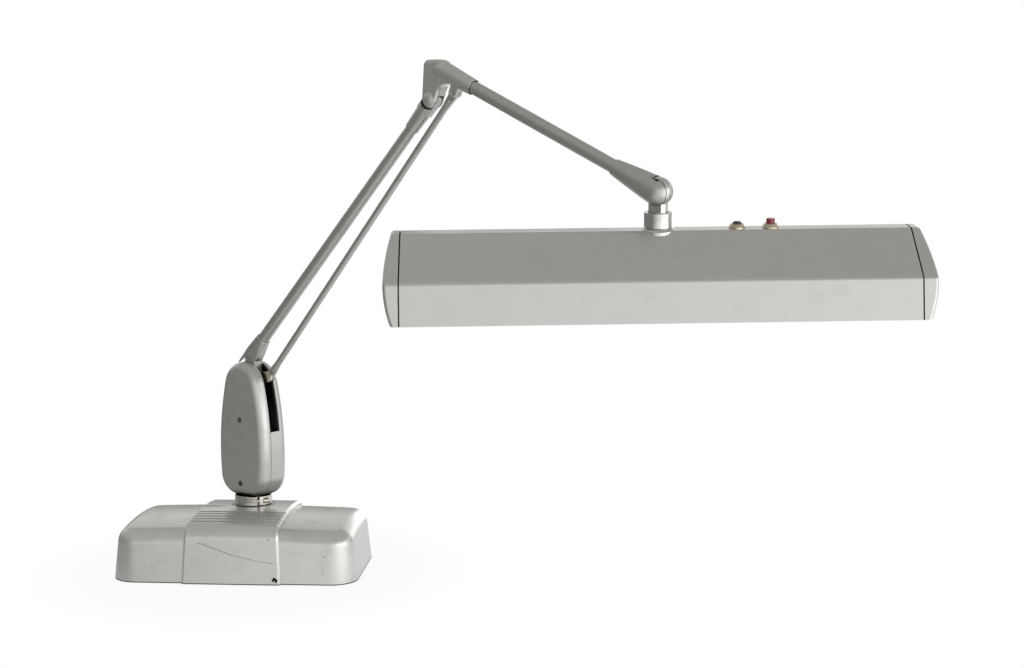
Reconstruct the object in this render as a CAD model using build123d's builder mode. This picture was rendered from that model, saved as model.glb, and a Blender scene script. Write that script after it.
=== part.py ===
from build123d import *
import os
from math import atan2, cos, degrees, hypot, pi, radians, sin, sqrt, tan

# A balanced-arm desk lamp for two fluorescent tubes, in millimetres and degrees.
# The origin is on the pedestal's swivel axis, on the table. +X runs along the base to the right,
# +Y points away from the user and +Z is up.

# Fits: pin_fit is the radial room round a pin, seat_fit the room in a fixed seat, travel_gap the room
# between pieces that move past each other.
pin_fit = 0.05
seat_fit = 0.05
travel_gap = 0.3

# Base shell
base_width = 295.0
base_depth = 168.0
base_height = 69.3
base_draft = 6.0
base_corner_radius = 31.0
base_edge_radius = 19.0
base_wall = 3.0
base_rim_height = 1.0
base_crown_radius = 450.0
base_side_fall = 3.0
pedestal_setback = 26.0
pedestal_offset = 4.6
band_width = 118.5
band_draft = 2.7
band_rise = 6.0
band_proud = 3.5
band_chamfer = 2.6
groove_count = 5
groove_pitch = 9.4
groove_width = 5.4
groove_depth = 1.8
groove_start = 49.0

# Under the base
felt_thickness = 1.5
felt_inset = 8.0
plate_thickness = 2.5
plate_gap = 0.5
plate_screw_spacing_x = 236.0
plate_screw_spacing_y = 122.0
plate_screw_radius = 2.0
plate_screw_head_radius = 4.0
plate_screw_head_height = 1.8
plate_screw_length = 16.0
plate_boss_radius = 5.0
weight_width = 212.0
weight_depth = 94.0
weight_height = 40.0
weight_centre_y = -50.0
weight_corner_radius = 8.0
choke_width = 76.0
choke_depth = 36.0
choke_height = 34.0
choke_coil_width = 106.0
choke_coil_depth = 26.0
choke_coil_height = 22.0
choke_centre_y = 23.0
cord_hole_x = -88.0
cord_hole_z = 24.0
cord_hole_radius = 5.5
cord_bore_radius = 4.0
cord_flange_radius = 8.0
cord_flange_thickness = 3.0
cord_spot_depth = 1.0
cord_bush_length = 9.0

# Swivel between base and pedestal
washer_radius = 27.0
washer_thickness = 1.2
washer_seat_z = 74.2
stem_radius = 10.0
stem_bore_radius = 6.0
stem_flange_radius = 15.0
stem_flange_thickness = 3.0
stem_boss_radius = 20.0
stem_boss_bottom = 61.0
stem_nut_radius = 16.0
stem_nut_thickness = 6.0
retainer_radius = 13.0
retainer_thickness = 5.5
ring_radius = 22.85
ring_height = 11.7
ring_edge_radius = 0.95
ring_split = 3.0
ring_split_azimuth = -62.5
ring_screw_radius = 1.8
ring_screw_head_radius = 3.1
ring_screw_head_length = 4.0
ring_screw_reach = 20.6
ring_screw_seat = 7.0

# Pedestal, drawn in the plane that the arms swing in
arm_azimuth = 33.0
pedestal_height = 166.0
pedestal_half_depth = 40.0
pedestal_widest_height = 55.0
pedestal_top_radius = 30.0
pedestal_foot_radius = 26.0
pedestal_thickness = 44.0
pedestal_edge_radius = 11.0
pedestal_wall = 3.0
pedestal_floor_rise = 0.5
seam_offset = 8.0
slot_bottom = 81.6
slot_front_depth = 14.0
slot_back_reach = 24.0
slot_top_depth = 30.0
cover_screw_heights = (16.0, 95.0)
cover_screw_radius = 1.8
cover_screw_head_radius = 3.4
cover_screw_head_length = 2.6
cover_screw_recess = 1.4
cover_boss_radius = 4.5
pivot_below_top = 23.0
shaft_radius = 4.0
shaft_pocket = 1.5
spacer_radius = 7.0
spring_offset = 15.0
spring_side = 13.0
spring_radius = 4.6
spring_wire_radius = 0.9
spring_foot_height = 30.0
anchor_radius = 3.0
spring_pin_radius = 2.0

# Arms: pivot to elbow, the crank that makes the parallelogram, and the tubes' own slopes
link_length = 446.3
link_angle = 49.24
crank_length = 32.2
crank_angle = 11.7
lower_tube_angle = 46.7
lower_tube_radius = 7.15
tube_wall = 1.2
root_mouth_rise = 54.3
root_neck_rise = 31.0
root_radius = 8.6
root_flare = 1.2
root_clear_radius = 29.0
root_neck_radius = 7.4
root_eye_radius = 10.0
root_half_thickness = 7.2
root_tube_depth = 18.0
root_horn_radius = 5.0
root_hub_radius = 8.0
fork_slot_rise = 13.0
ferrule_start = 44.0
ferrule_end = 9.0
ferrule_radius = 9.6
ferrule_taper = 2.0
ferrule_edge_radius = 0.6
ferrule_tube_depth = 18.0
tongue_half_thickness = 4.2
lever_half_thickness = 4.4
lever_hub_radius = 8.5
lever_end_radius = 6.4
lever_fork_reach = 9.6
rod_radius = 3.8
rod_eye_radius = 5.5
rod_eye_half_thickness = 2.0
rod_neck = 10.0
link_pin_radius = 2.0
open_pivot_gap = 0.3
upper_tube_angle = -24.85
upper_tube_radius = 7.35
upper_tube_rise = 34.5
upper_arm_length = 307.0
elbow_half_thickness = 9.0
elbow_cheek_radius = 10.6
elbow_dome_radius = 11.4
elbow_corner = (-17.5, -1.5)
elbow_corner_radius = 6.0
elbow_brow = (-2.0, 0.5)
elbow_brow_radius = 10.5
elbow_edge_radius = 4.5
sleeve_radius = 11.0
sleeve_end_radius = 9.0
sleeve_end = 47.5
sleeve_tube_start = 12.0
sleeve_mouth_gap = 0.7
sleeve_mouth_depth = 5.0
web_reach = 21.0
web_round = 12.5
web_half_thickness = 8.5
elbow_slot_radius = 12.4
elbow_pin_radius = 4.0
elbow_pin_cover = 2.0
ear_radius = 6.0
ear_half_thickness = 5.3

# Arm end and knuckle
socket_length = 59.0
socket_mouth_radius = 8.6
socket_waist_radius = 12.3
socket_mouth_round = 1.4
socket_tube_depth = 24.0
ball_radius = 15.2
lap_offset = 6.5
lap_gap = 0.15
wire_slot_length = 12.0
wire_slot_width = 5.0
wire_slot_depth = 3.0
cup_reach = 8.0
knuckle_pin_radius = 3.5
knuckle_pin_cover = 3.0
knuckle_pin_depth = 9.0
neck_radius = 10.0
neck_shoulder = 20.2
neck_end = 24.4
post_radius = 7.95
post_nut_radius = 11.0
post_nut_thickness = 6.0

# Lamp head, in its own plane with z along the post
shade_turn = 4.5
shade_tip = 0.7
shade_lean = 8.0
shade_shift = -3.0
roof_drop = 38.2
roof_half = 11.0
slope_out = 57.0
slope_drop = 38.7
skirt_out = 10.0
skirt_drop = 41.2
shade_wall = 1.0
shade_bend_radius = 6.0
shade_length = 517.0
cap_length = 15.0
cap_dome_radius = 120.0
cap_edge_radius = 3.5
cap_seam = 0.9
cap_lip = 8.0
collar_radius = 14.3
collar_top = 20.6
collar_bottom = 36.2
collar_edge_radius = 0.85
collar_recess_radius = 10.75
saddle_radius = 17.4
saddle_flat_radius = 13.0
saddle_round_drop = 3.0
end_plate_x = 237.0
end_plate_thickness = 1.2
end_plate_drop = 70.0
reflector_wall = 0.7
reflector_roof_drop = 18.0
reflector_roof_half = 26.0
reflector_knee = (64.0, 44.0)
reflector_foot = (69.5, 68.0)
reflector_lip_gap = 0.3
bracket_x = 150.0
bracket_length = 26.0
bracket_half = 9.0
bracket_wall = 1.5
wireway_half = 16.0
wireway_height = 21.0
wireway_wall = 0.8
tube_spacing = 80.0
tube_drop = 57.0
lamp_radius = 12.7
lamp_length = 438.0
lamp_glass = 0.9
lamp_end_length = 13.0
lamp_end_wall = 0.4
lamp_pin_radius = 1.2
lamp_pin_length = 7.0
lamp_pin_spacing = 12.7
holder_radius = 15.0
holder_gap = 0.5
holder_top_drop = 36.0
switch_width = 22.0
switch_depth = 16.0
switch_corner_radius = 1.6
switch_height = 15.0
switch_room = 10.5
bezel_radius = 8.3
bezel_top_radius = 6.4
bezel_rim = 1.4
bezel_height = 4.5
bezel_thread_radius = 5.6
bezel_thread_length = 7.0
stop_button_x = 80.5
stop_button_radius = 4.7
stop_button_top = 7.0
stop_button_round = 2.6
start_button_x = 114.5
start_button_radius = 4.4
start_button_top = 9.5
start_button_chamfer = 0.8
button_root = 6.0

os.makedirs("parts", exist_ok=True)


def finish(builder, name):
    """Label one piece and write it to its own file."""
    builder.part.label = name
    export_step(builder.part, f"parts/{name}.step")


# The swing plane: its x runs outwards under the arms, its y is up, its z points to the near side.
swing_out = Vector(cos(radians(arm_azimuth)), -sin(radians(arm_azimuth)), 0)
swing_near = Vector(-sin(radians(arm_azimuth)), -cos(radians(arm_azimuth)), 0)
swing = Plane(origin=(0, 0, 0), x_dir=swing_out, z_dir=swing_near)


def polar(length, angle):
    """A step of this length at this angle in the swing plane."""
    return Vector(length * cos(radians(angle)), length * sin(radians(angle)))


def square_to(plane, distance):
    """The plane across another plane's x direction, a distance along it."""
    return Plane(plane.origin + plane.x_dir * distance, x_dir=plane.z_dir, z_dir=plane.x_dir)


# Heights that stack up from the base to the pedestal
washer_top = washer_seat_z + washer_thickness
ring_bottom = washer_top + travel_gap
pedestal_bottom = ring_bottom + ring_height
pedestal_top = pedestal_bottom + pedestal_height
plate_top = felt_thickness + plate_thickness

# Pivots in the swing plane
pivot = Vector(0, pedestal_top - pivot_below_top)
elbow = pivot + polar(link_length, link_angle)
rod_foot = pivot + polar(crank_length, crank_angle)
rod_top = elbow + polar(crank_length, crank_angle)
upper_foot = elbow + polar(upper_tube_rise, upper_tube_angle + 90)
arm_end = upper_foot + polar(upper_arm_length, upper_tube_angle)

# Places of the lower arm's root, measured from the elbow along the tube
root_top = link_length - root_mouth_rise
root_bottom = link_length - root_neck_rise

# Planes on the arms: each has its x along the piece and its z to the near side.
lower_axis = swing_out * cos(radians(lower_tube_angle)) + Vector(0, 0, sin(radians(lower_tube_angle)))
lower = Plane(swing.from_local_coords(elbow), x_dir=-lower_axis, z_dir=swing_near)
rod_axis = swing_out * cos(radians(link_angle)) + Vector(0, 0, sin(radians(link_angle)))
rod = Plane(swing.from_local_coords(rod_foot), x_dir=rod_axis, z_dir=swing_near)
upper_axis = swing_out * cos(radians(upper_tube_angle)) + Vector(0, 0, sin(radians(upper_tube_angle)))
upper = Plane(swing.from_local_coords(upper_foot), x_dir=upper_axis, z_dir=swing_near)
upper_rod_top = upper.to_local_coords(swing.from_local_coords(rod_top))

# The head's plane: x along the shade, y to the back, z up its post
turn, tip, lean = radians(shade_turn), radians(shade_tip), radians(shade_lean)
shade_back = Vector(-sin(turn), cos(turn), 0)
shade_along = Vector(cos(turn) * cos(tip), sin(turn) * cos(tip), sin(tip))
post_up = shade_along.cross(shade_back) * cos(lean) - shade_back * sin(lean)
head_point = swing.from_local_coords(arm_end)
head = Plane(head_point, x_dir=shade_along, z_dir=post_up)
head_half = Plane(head_point, x_dir=shade_along, z_dir=-head.y_dir)
knuckle_axis = upper_axis.cross(post_up).normalized()
knuckle = Plane(head_point, x_dir=upper_axis, z_dir=knuckle_axis)
post_line = Axis(head_point, post_up)


def head_section(x):
    """The plane across the shade, x from its middle, with y to the back and z up."""
    return Plane(head_point + shade_along * (x + shade_shift), x_dir=head.y_dir, z_dir=shade_along)


# Base form: a drafted block under a crowned top with a round upper edge.
base_centre_x = -pedestal_offset
base_centre_y = -pedestal_setback
band_crest = base_height + band_rise
band_crown = base_crown_radius + band_rise


def base_form(grow_x, grow_y, rise, inset):
    """The base's outside, grown in plan and height, or drawn in by a wall."""
    width = base_width + 2 * grow_x - 2 * inset
    depth = base_depth + 2 * grow_y - 2 * inset
    crest = base_height + rise - inset
    crown = base_crown_radius + rise - inset
    barrel = Plane((base_centre_x, base_centre_y, crest - crown), x_dir=(1, 0, 0), z_dir=(0, -1, 0))
    with BuildPart() as form:
        with BuildSketch(Plane((base_centre_x, base_centre_y, base_rim_height))):
            RectangleRounded(width, depth, base_corner_radius - inset)
        extrude(amount=crest, taper=base_draft)
        with BuildSketch(barrel):
            with BuildLine():
                Polyline((-width, crown - 4 * base_side_fall), (-width, 0), (width, 0),
                         (width, crown - 4 * base_side_fall))
                ThreePointArc((width, crown - 4 * base_side_fall), (0, crown),
                              (-width, crown - 4 * base_side_fall))
            make_face()
        revolve(axis=Axis(barrel.origin, (1, 0, 0)), mode=Mode.INTERSECT)
        fillet(form.faces().sort_by(Axis.Z)[-1].edges(), base_edge_radius - inset)
    return form.part


base_outside = base_form(0, 0, 0, 0)
base_inside = base_form(0, 0, 0, base_wall)
band_outside = base_form(0, band_proud, band_rise, 0)
plate_centre = Plane((base_centre_x, base_centre_y, felt_thickness))
boss_plane = Plane((base_centre_x, base_centre_y, plate_top))
cord_seat_y = (base_centre_y + base_depth / 2 - (cord_hole_z - base_rim_height) * tan(radians(base_draft))
               - cord_spot_depth)
cord_seat = Plane((cord_hole_x, cord_seat_y, cord_hole_z), x_dir=(1, 0, 0), z_dir=(0, 1, 0))

# Raised band over the middle of the base
with BuildPart() as band:
    add(band_outside)
    with BuildSketch(Plane((base_centre_x, base_centre_y, base_rim_height))):
        Rectangle(band_width, 2 * base_depth)
    extrude(amount=band_crest, taper=band_draft, mode=Mode.INTERSECT)
    band_sides = band.faces().sort_by(Axis.X)[0:1] + band.faces().sort_by(Axis.X)[-1:]
    chamfer(band_sides.edges() - band.faces().sort_by(Axis.Z)[0].edges(), band_chamfer)

# Screw bosses and the stem's boss, trimmed to the shell's outside
with BuildPart() as base_bosses:
    with BuildSketch(boss_plane):
        with GridLocations(plate_screw_spacing_x, plate_screw_spacing_y, 2, 2):
            Circle(plate_boss_radius)
    extrude(amount=base_height)
    with BuildSketch(Plane.XY.offset(stem_boss_bottom)):
        Circle(stem_boss_radius)
    extrude(amount=base_height)
    add(base_outside, mode=Mode.INTERSECT)

# Base shell: one pressed and drafted cover, open underneath
with BuildPart() as base_shell:
    add(base_outside)
    add(band.part)
    add(base_inside, mode=Mode.SUBTRACT)
    add(base_bosses.part)
    with BuildSketch(Plane.YZ):
        for number in range(groove_count):
            groove_y = -groove_start - number * groove_pitch
            groove_z = band_crest - band_crown + sqrt(band_crown**2 - (groove_y - base_centre_y) ** 2)
            with Locations((groove_y, groove_z)):
                Rectangle(groove_width, 2 * groove_depth)
    extrude(amount=band_width, both=True, mode=Mode.SUBTRACT)
    with BuildSketch(Plane.XY.offset(washer_seat_z)):
        Circle(washer_radius + travel_gap)
    extrude(amount=base_height, mode=Mode.SUBTRACT)
    with BuildSketch(Plane.XY.offset(stem_boss_bottom)):
        Circle(stem_radius + seat_fit)
    extrude(amount=base_height, mode=Mode.SUBTRACT)
    with BuildSketch(boss_plane):
        with GridLocations(plate_screw_spacing_x, plate_screw_spacing_y, 2, 2):
            Circle(plate_screw_radius + seat_fit)
    extrude(amount=plate_screw_length, mode=Mode.SUBTRACT)
    with BuildSketch(cord_seat):
        Circle(cord_flange_radius + travel_gap)
    extrude(amount=base_wall + cord_flange_thickness, mode=Mode.SUBTRACT)
    with BuildSketch(cord_seat):
        Circle(cord_hole_radius + seat_fit)
    extrude(amount=2 * base_wall, both=True, mode=Mode.SUBTRACT)
finish(base_shell, "base_shell")

# Base plate: flat steel sheet set inside the shell's rim, countersunk for its screws
with BuildPart() as base_plate:
    plate_inset = base_wall + plate_gap + plate_top * tan(radians(base_draft))
    with BuildSketch(plate_centre):
        RectangleRounded(base_width - 2 * plate_inset, base_depth - 2 * plate_inset,
                         base_corner_radius - base_wall - plate_gap)
    extrude(amount=plate_thickness)
    with BuildSketch(plate_centre):
        with GridLocations(plate_screw_spacing_x, plate_screw_spacing_y, 2, 2):
            Circle(plate_screw_radius + seat_fit)
    extrude(amount=plate_thickness, mode=Mode.SUBTRACT)
    with BuildSketch(plate_centre):
        with GridLocations(plate_screw_spacing_x, plate_screw_spacing_y, 2, 2):
            Circle(plate_screw_head_radius + seat_fit)
    extrude(amount=plate_screw_head_height, taper=45, mode=Mode.SUBTRACT)
finish(base_plate, "base_plate")

# Four countersunk screws that hold the plate up into the shell's bosses
with BuildPart() as plate_screws:
    with BuildSketch(plate_centre):
        with GridLocations(plate_screw_spacing_x, plate_screw_spacing_y, 2, 2):
            Circle(plate_screw_radius)
    extrude(amount=plate_screw_length)
    with BuildSketch(plate_centre):
        with GridLocations(plate_screw_spacing_x, plate_screw_spacing_y, 2, 2):
            Circle(plate_screw_head_radius)
    extrude(amount=plate_screw_head_height, taper=45)
finish(plate_screws, "plate_screws")

# Felt pad glued under the plate, the face that stands on the table
with BuildPart() as felt_pad:
    with BuildSketch(Plane((base_centre_x, base_centre_y, 0))):
        RectangleRounded(base_width - 2 * felt_inset, base_depth - 2 * felt_inset,
                         base_corner_radius - felt_inset)
    extrude(amount=felt_thickness)
finish(felt_pad, "felt_pad")

# Cast iron weight on the plate, forward of the pedestal
with BuildPart() as base_weight:
    with BuildSketch(Plane((base_centre_x, weight_centre_y, plate_top))):
        RectangleRounded(weight_width, weight_depth, weight_corner_radius)
    extrude(amount=weight_height)
    chamfer(base_weight.faces().sort_by(Axis.Z)[-1].edges(), weight_corner_radius / 4)
finish(base_weight, "base_weight")

# Choke for the tubes: laminated core with its coil showing at both ends
with BuildPart() as ballast_choke:
    with BuildSketch(Plane((base_centre_x, choke_centre_y, plate_top))):
        Rectangle(choke_width, choke_depth)
    extrude(amount=choke_height)
    with BuildSketch(Plane((0, choke_centre_y, plate_top + (choke_height - choke_coil_height) / 2))):
        RectangleRounded(choke_coil_width, choke_coil_depth, choke_coil_depth / 4)
    extrude(amount=choke_coil_height)
finish(ballast_choke, "ballast_choke")

# Flanged bushing for a supply cord in the back wall
with BuildPart() as cord_bushing:
    with BuildSketch(cord_seat):
        Circle(cord_flange_radius)
    extrude(amount=cord_flange_thickness)
    fillet(cord_bushing.faces().sort_by(Axis.Y)[-1].edges(), cord_flange_thickness / 3)
    with BuildSketch(cord_seat):
        Circle(cord_hole_radius)
    extrude(amount=-cord_bush_length)
    with BuildSketch(cord_seat):
        Circle(cord_bore_radius)
    extrude(amount=cord_bush_length + cord_flange_thickness, both=True, mode=Mode.SUBTRACT)
finish(cord_bushing, "cord_bushing")

# Thin dark friction washer on the band
with BuildPart() as swivel_washer:
    with BuildSketch(Plane.XY.offset(washer_seat_z)):
        Circle(washer_radius)
        Circle(stem_radius + seat_fit, mode=Mode.SUBTRACT)
    extrude(amount=washer_thickness)
finish(swivel_washer, "swivel_washer")

# Retainer heights inside the pedestal
retainer_bottom = pedestal_bottom + pedestal_wall + pedestal_floor_rise + travel_gap
retainer_top = retainer_bottom + retainer_thickness
stem_bottom = stem_boss_bottom - stem_nut_thickness

# Hollow swivel stem, clamped through the roof by its flange and nut
with BuildPart() as swivel_stem:
    with BuildSketch(Plane.XY.offset(stem_bottom)):
        Circle(stem_radius)
    extrude(amount=retainer_top - stem_bottom)
    with BuildSketch(Plane.XY.offset(washer_top)):
        Circle(stem_flange_radius)
    extrude(amount=stem_flange_thickness)
    with BuildSketch(Plane.XY.offset(stem_bottom)):
        Circle(stem_bore_radius)
    extrude(amount=retainer_top - stem_bottom, mode=Mode.SUBTRACT)
finish(swivel_stem, "swivel_stem")

# Nut under the roof
with BuildPart() as stem_nut:
    with BuildSketch(Plane.XY.offset(stem_bottom)):
        RegularPolygon(stem_nut_radius, 6)
        Circle(stem_radius + seat_fit, mode=Mode.SUBTRACT)
    extrude(amount=stem_nut_thickness)
finish(stem_nut, "stem_nut")

# Round nut inside the pedestal, which keeps it on the stem
with BuildPart() as swivel_retainer:
    with BuildSketch(Plane.XY.offset(retainer_bottom)):
        Circle(retainer_radius)
        Circle(stem_radius + seat_fit, mode=Mode.SUBTRACT)
    extrude(amount=retainer_thickness)
finish(swivel_retainer, "swivel_retainer")

# Ring: the clamp screw lies across the split, its head in a round pocket
ring_split_out = Vector(cos(radians(ring_split_azimuth)), sin(radians(ring_split_azimuth)), 0)
ring_split_side = Vector(0, 0, 1).cross(ring_split_out)
ring_middle = ring_bottom + ring_height / 2
ring_screw_plane = Plane(ring_split_out * ring_screw_reach + Vector(0, 0, ring_middle), x_dir=(0, 0, 1),
                         z_dir=ring_split_side)
ring_split_plane = Plane((0, 0, ring_bottom), x_dir=ring_split_out, z_dir=(0, 0, 1))

# Split swivel ring under the pedestal
with BuildPart() as swivel_ring:
    with BuildSketch(Plane.XY.offset(ring_bottom)):
        Circle(ring_radius)
    extrude(amount=ring_height)
    fillet(swivel_ring.edges().filter_by(GeomType.CIRCLE), ring_edge_radius)
    with BuildSketch(Plane.XY.offset(ring_bottom)):
        Circle(stem_radius + pin_fit)
    extrude(amount=ring_height, mode=Mode.SUBTRACT)
    with BuildSketch(Plane.XY.offset(ring_bottom)):
        Circle(stem_flange_radius + travel_gap)
    extrude(amount=stem_flange_thickness, mode=Mode.SUBTRACT)
    with BuildSketch(ring_split_plane):
        with Locations((ring_radius, 0)):
            Rectangle(2 * (ring_radius - stem_radius) + pin_fit, ring_split)
    extrude(amount=ring_height, mode=Mode.SUBTRACT)
    with BuildSketch(ring_screw_plane):
        Circle(ring_screw_radius + seat_fit)
    extrude(amount=ring_screw_seat, both=True, mode=Mode.SUBTRACT)
    with BuildSketch(ring_screw_plane.offset(ring_screw_seat)):
        Circle(ring_screw_head_radius + seat_fit)
    extrude(amount=ring_radius, mode=Mode.SUBTRACT)
finish(swivel_ring, "swivel_ring")

# Brass clamp screw of the ring
with BuildPart() as ring_screw:
    with BuildSketch(ring_screw_plane):
        Circle(ring_screw_radius)
    extrude(amount=ring_screw_seat, both=True)
    with BuildSketch(ring_screw_plane.offset(ring_screw_seat)):
        Circle(ring_screw_head_radius)
    extrude(amount=ring_screw_head_length)
    with BuildSketch(ring_screw_plane.offset(ring_screw_seat + ring_screw_head_length)):
        Rectangle(ring_screw_head_radius / 3, 3 * ring_screw_head_radius)
    extrude(amount=-ring_screw_head_length / 3, mode=Mode.SUBTRACT)
finish(ring_screw, "ring_screw")

# Pedestal outline: a flat foot, foot arcs, long side arcs and a round top, all tangent
widest_z = pedestal_bottom + pedestal_widest_height
top_centre = Vector(0, pedestal_top - pedestal_top_radius)
top_rise = top_centre.Y - widest_z
side_radius = ((pedestal_half_depth**2 + top_rise**2 - pedestal_top_radius**2)
               / (2 * (pedestal_half_depth - pedestal_top_radius)))
side_centre = Vector(pedestal_half_depth - side_radius, widest_z)
foot_drop = widest_z - pedestal_bottom - pedestal_foot_radius
foot_centre = Vector(side_centre.X + sqrt((side_radius - pedestal_foot_radius) ** 2 - foot_drop**2),
                     widest_z - foot_drop)
top_meet = degrees(atan2(top_rise, -side_centre.X))
foot_meet = degrees(atan2(-foot_drop, foot_centre.X - side_centre.X))


def pedestal_form(inset):
    """The pedestal's outside, or its hollow when drawn in by a wall."""
    with BuildPart() as form:
        with BuildSketch(swing):
            with BuildLine():
                Line((0, pedestal_bottom + inset), (foot_centre.X, pedestal_bottom + inset))
                CenterArc(foot_centre, pedestal_foot_radius - inset, -90, 90 + foot_meet)
                CenterArc(side_centre, side_radius - inset, foot_meet, top_meet - foot_meet)
                CenterArc(top_centre, pedestal_top_radius - inset, top_meet, 90 - top_meet)
                mirror(about=Plane.YZ)
            make_face()
        extrude(amount=pedestal_thickness / 2 - inset, both=True)
        fillet(form.faces().filter_by(Axis((0, 0, 0), swing_near)).edges(), pedestal_edge_radius - inset)
    return form.part


pedestal_outside = pedestal_form(0)
pedestal_inside = pedestal_form(pedestal_wall)
inner_half = pedestal_thickness / 2 - pedestal_wall
seam = swing.offset(seam_offset)
cover_screw_places = [(0, pedestal_bottom + height) for height in cover_screw_heights]

# What both halves share: the wall, the floor's rise and the posts that the cover screws go through
with BuildPart() as pedestal_blank:
    add(pedestal_outside)
    add(pedestal_inside, mode=Mode.SUBTRACT)
    with BuildSketch(Plane.XY.offset(pedestal_bottom)):
        Circle(retainer_radius)
    extrude(amount=pedestal_wall + pedestal_floor_rise)
    with BuildSketch(swing):
        with Locations(cover_screw_places):
            Circle(cover_boss_radius)
    extrude(amount=inner_half + pedestal_wall / 2, both=True)
    with BuildSketch(swing):
        with Locations(cover_screw_places):
            Circle(cover_screw_radius + seat_fit)
    extrude(amount=inner_half, both=True, mode=Mode.SUBTRACT)
    with BuildSketch(swing.offset(pedestal_thickness / 2)):
        with Locations(cover_screw_places):
            Circle(cover_screw_head_radius + seat_fit)
    extrude(amount=-cover_screw_recess - cover_screw_head_length, mode=Mode.SUBTRACT)
    with BuildSketch(Plane.XY.offset(pedestal_bottom)):
        Circle(stem_radius + pin_fit)
    extrude(amount=pedestal_height / 2, mode=Mode.SUBTRACT)
    with BuildSketch(swing):
        with Locations(pivot):
            Circle(shaft_radius + seat_fit)
        with Locations((-spring_offset, pedestal_bottom + spring_foot_height)):
            Circle(anchor_radius + seat_fit)
    extrude(amount=inner_half + shaft_pocket, both=True, mode=Mode.SUBTRACT)

# Far half of the pedestal, with the slot that the arm and the rod come out of
with BuildPart() as pedestal_housing:
    add(pedestal_blank.part)
    split(bisect_by=seam, keep=Keep.BOTTOM)
    slot_front = pedestal_half_depth - slot_front_depth
    slot_foot = pedestal_bottom + slot_bottom
    slot_step = pedestal_top - slot_top_depth
    with BuildSketch(swing):
        with BuildLine():
            Polyline((slot_front, slot_foot), (2 * pedestal_half_depth, slot_foot),
                     (2 * pedestal_half_depth, 2 * pedestal_top), (-slot_back_reach, 2 * pedestal_top),
                     (-slot_back_reach, slot_step), (slot_front, slot_step), close=True)
        make_face()
    extrude(amount=seam_offset, both=True, mode=Mode.SUBTRACT)
finish(pedestal_housing, "pedestal_housing")

# Near half of the pedestal
with BuildPart() as pedestal_cover:
    add(pedestal_blank.part)
    split(bisect_by=seam, keep=Keep.TOP)
finish(pedestal_cover, "pedestal_cover")

# Two slotted screws sunk in the cover's face
cover_screw_face = swing.offset(pedestal_thickness / 2 - cover_screw_recess)
with BuildPart() as cover_screws:
    with BuildSketch(cover_screw_face):
        with Locations(cover_screw_places):
            Circle(cover_screw_head_radius)
    extrude(amount=-cover_screw_head_length)
    with BuildSketch(cover_screw_face):
        with Locations(cover_screw_places):
            Circle(cover_screw_radius)
    extrude(amount=-pedestal_thickness + 2 * pedestal_wall)
    with BuildSketch(cover_screw_face):
        with Locations(cover_screw_places):
            Rectangle(cover_screw_head_radius / 3, 3 * cover_screw_head_radius, rotation=30)
    extrude(amount=-cover_screw_head_length / 3, mode=Mode.SUBTRACT)
finish(cover_screws, "cover_screws")

# Shaft that the lower arm and the rod's lever turn on, held in both halves
with BuildPart() as arm_shaft:
    with BuildSketch(swing):
        with Locations(pivot):
            Circle(shaft_radius)
    extrude(amount=inner_half + shaft_pocket, both=True)
finish(arm_shaft, "arm_shaft")

# Two spacer tubes that centre the arm on its shaft
spacer_start = root_half_thickness + travel_gap
with BuildPart() as shaft_spacers:
    with BuildSketch(swing):
        with Locations(pivot):
            Circle(spacer_radius)
            Circle(shaft_radius + seat_fit, mode=Mode.SUBTRACT)
    extrude(amount=inner_half, both=True)
    with BuildSketch(swing):
        with Locations(pivot):
            Circle(2 * spacer_radius)
    extrude(amount=spacer_start, both=True, mode=Mode.SUBTRACT)
finish(shaft_spacers, "shaft_spacers")

# Bar low in the pedestal that the springs pull on
spring_foot = Vector(-spring_offset, pedestal_bottom + spring_foot_height)
spring_head = pivot - Vector(spring_offset, 0)
with BuildPart() as spring_anchor:
    with BuildSketch(swing):
        with Locations(spring_foot):
            Circle(anchor_radius)
    extrude(amount=inner_half + shaft_pocket, both=True)
finish(spring_anchor, "spring_anchor")

# Counterbalance springs: close sleeves of wire between the anchor bar and the arm's spring pin
spring_length = spring_head.Y - spring_foot.Y - anchor_radius - spring_pin_radius - 2 * travel_gap
for name, side in (("near_spring", 1), ("far_spring", -1)):
    spring_base = Plane(swing.from_local_coords(Vector(spring_foot.X, spring_foot.Y, side * spring_side)))
    with BuildPart() as spring:
        with BuildSketch(spring_base.offset(anchor_radius + travel_gap)):
            Circle(spring_radius + spring_wire_radius)
            Circle(spring_radius - spring_wire_radius, mode=Mode.SUBTRACT)
        extrude(amount=spring_length)
    finish(spring, name)

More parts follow.
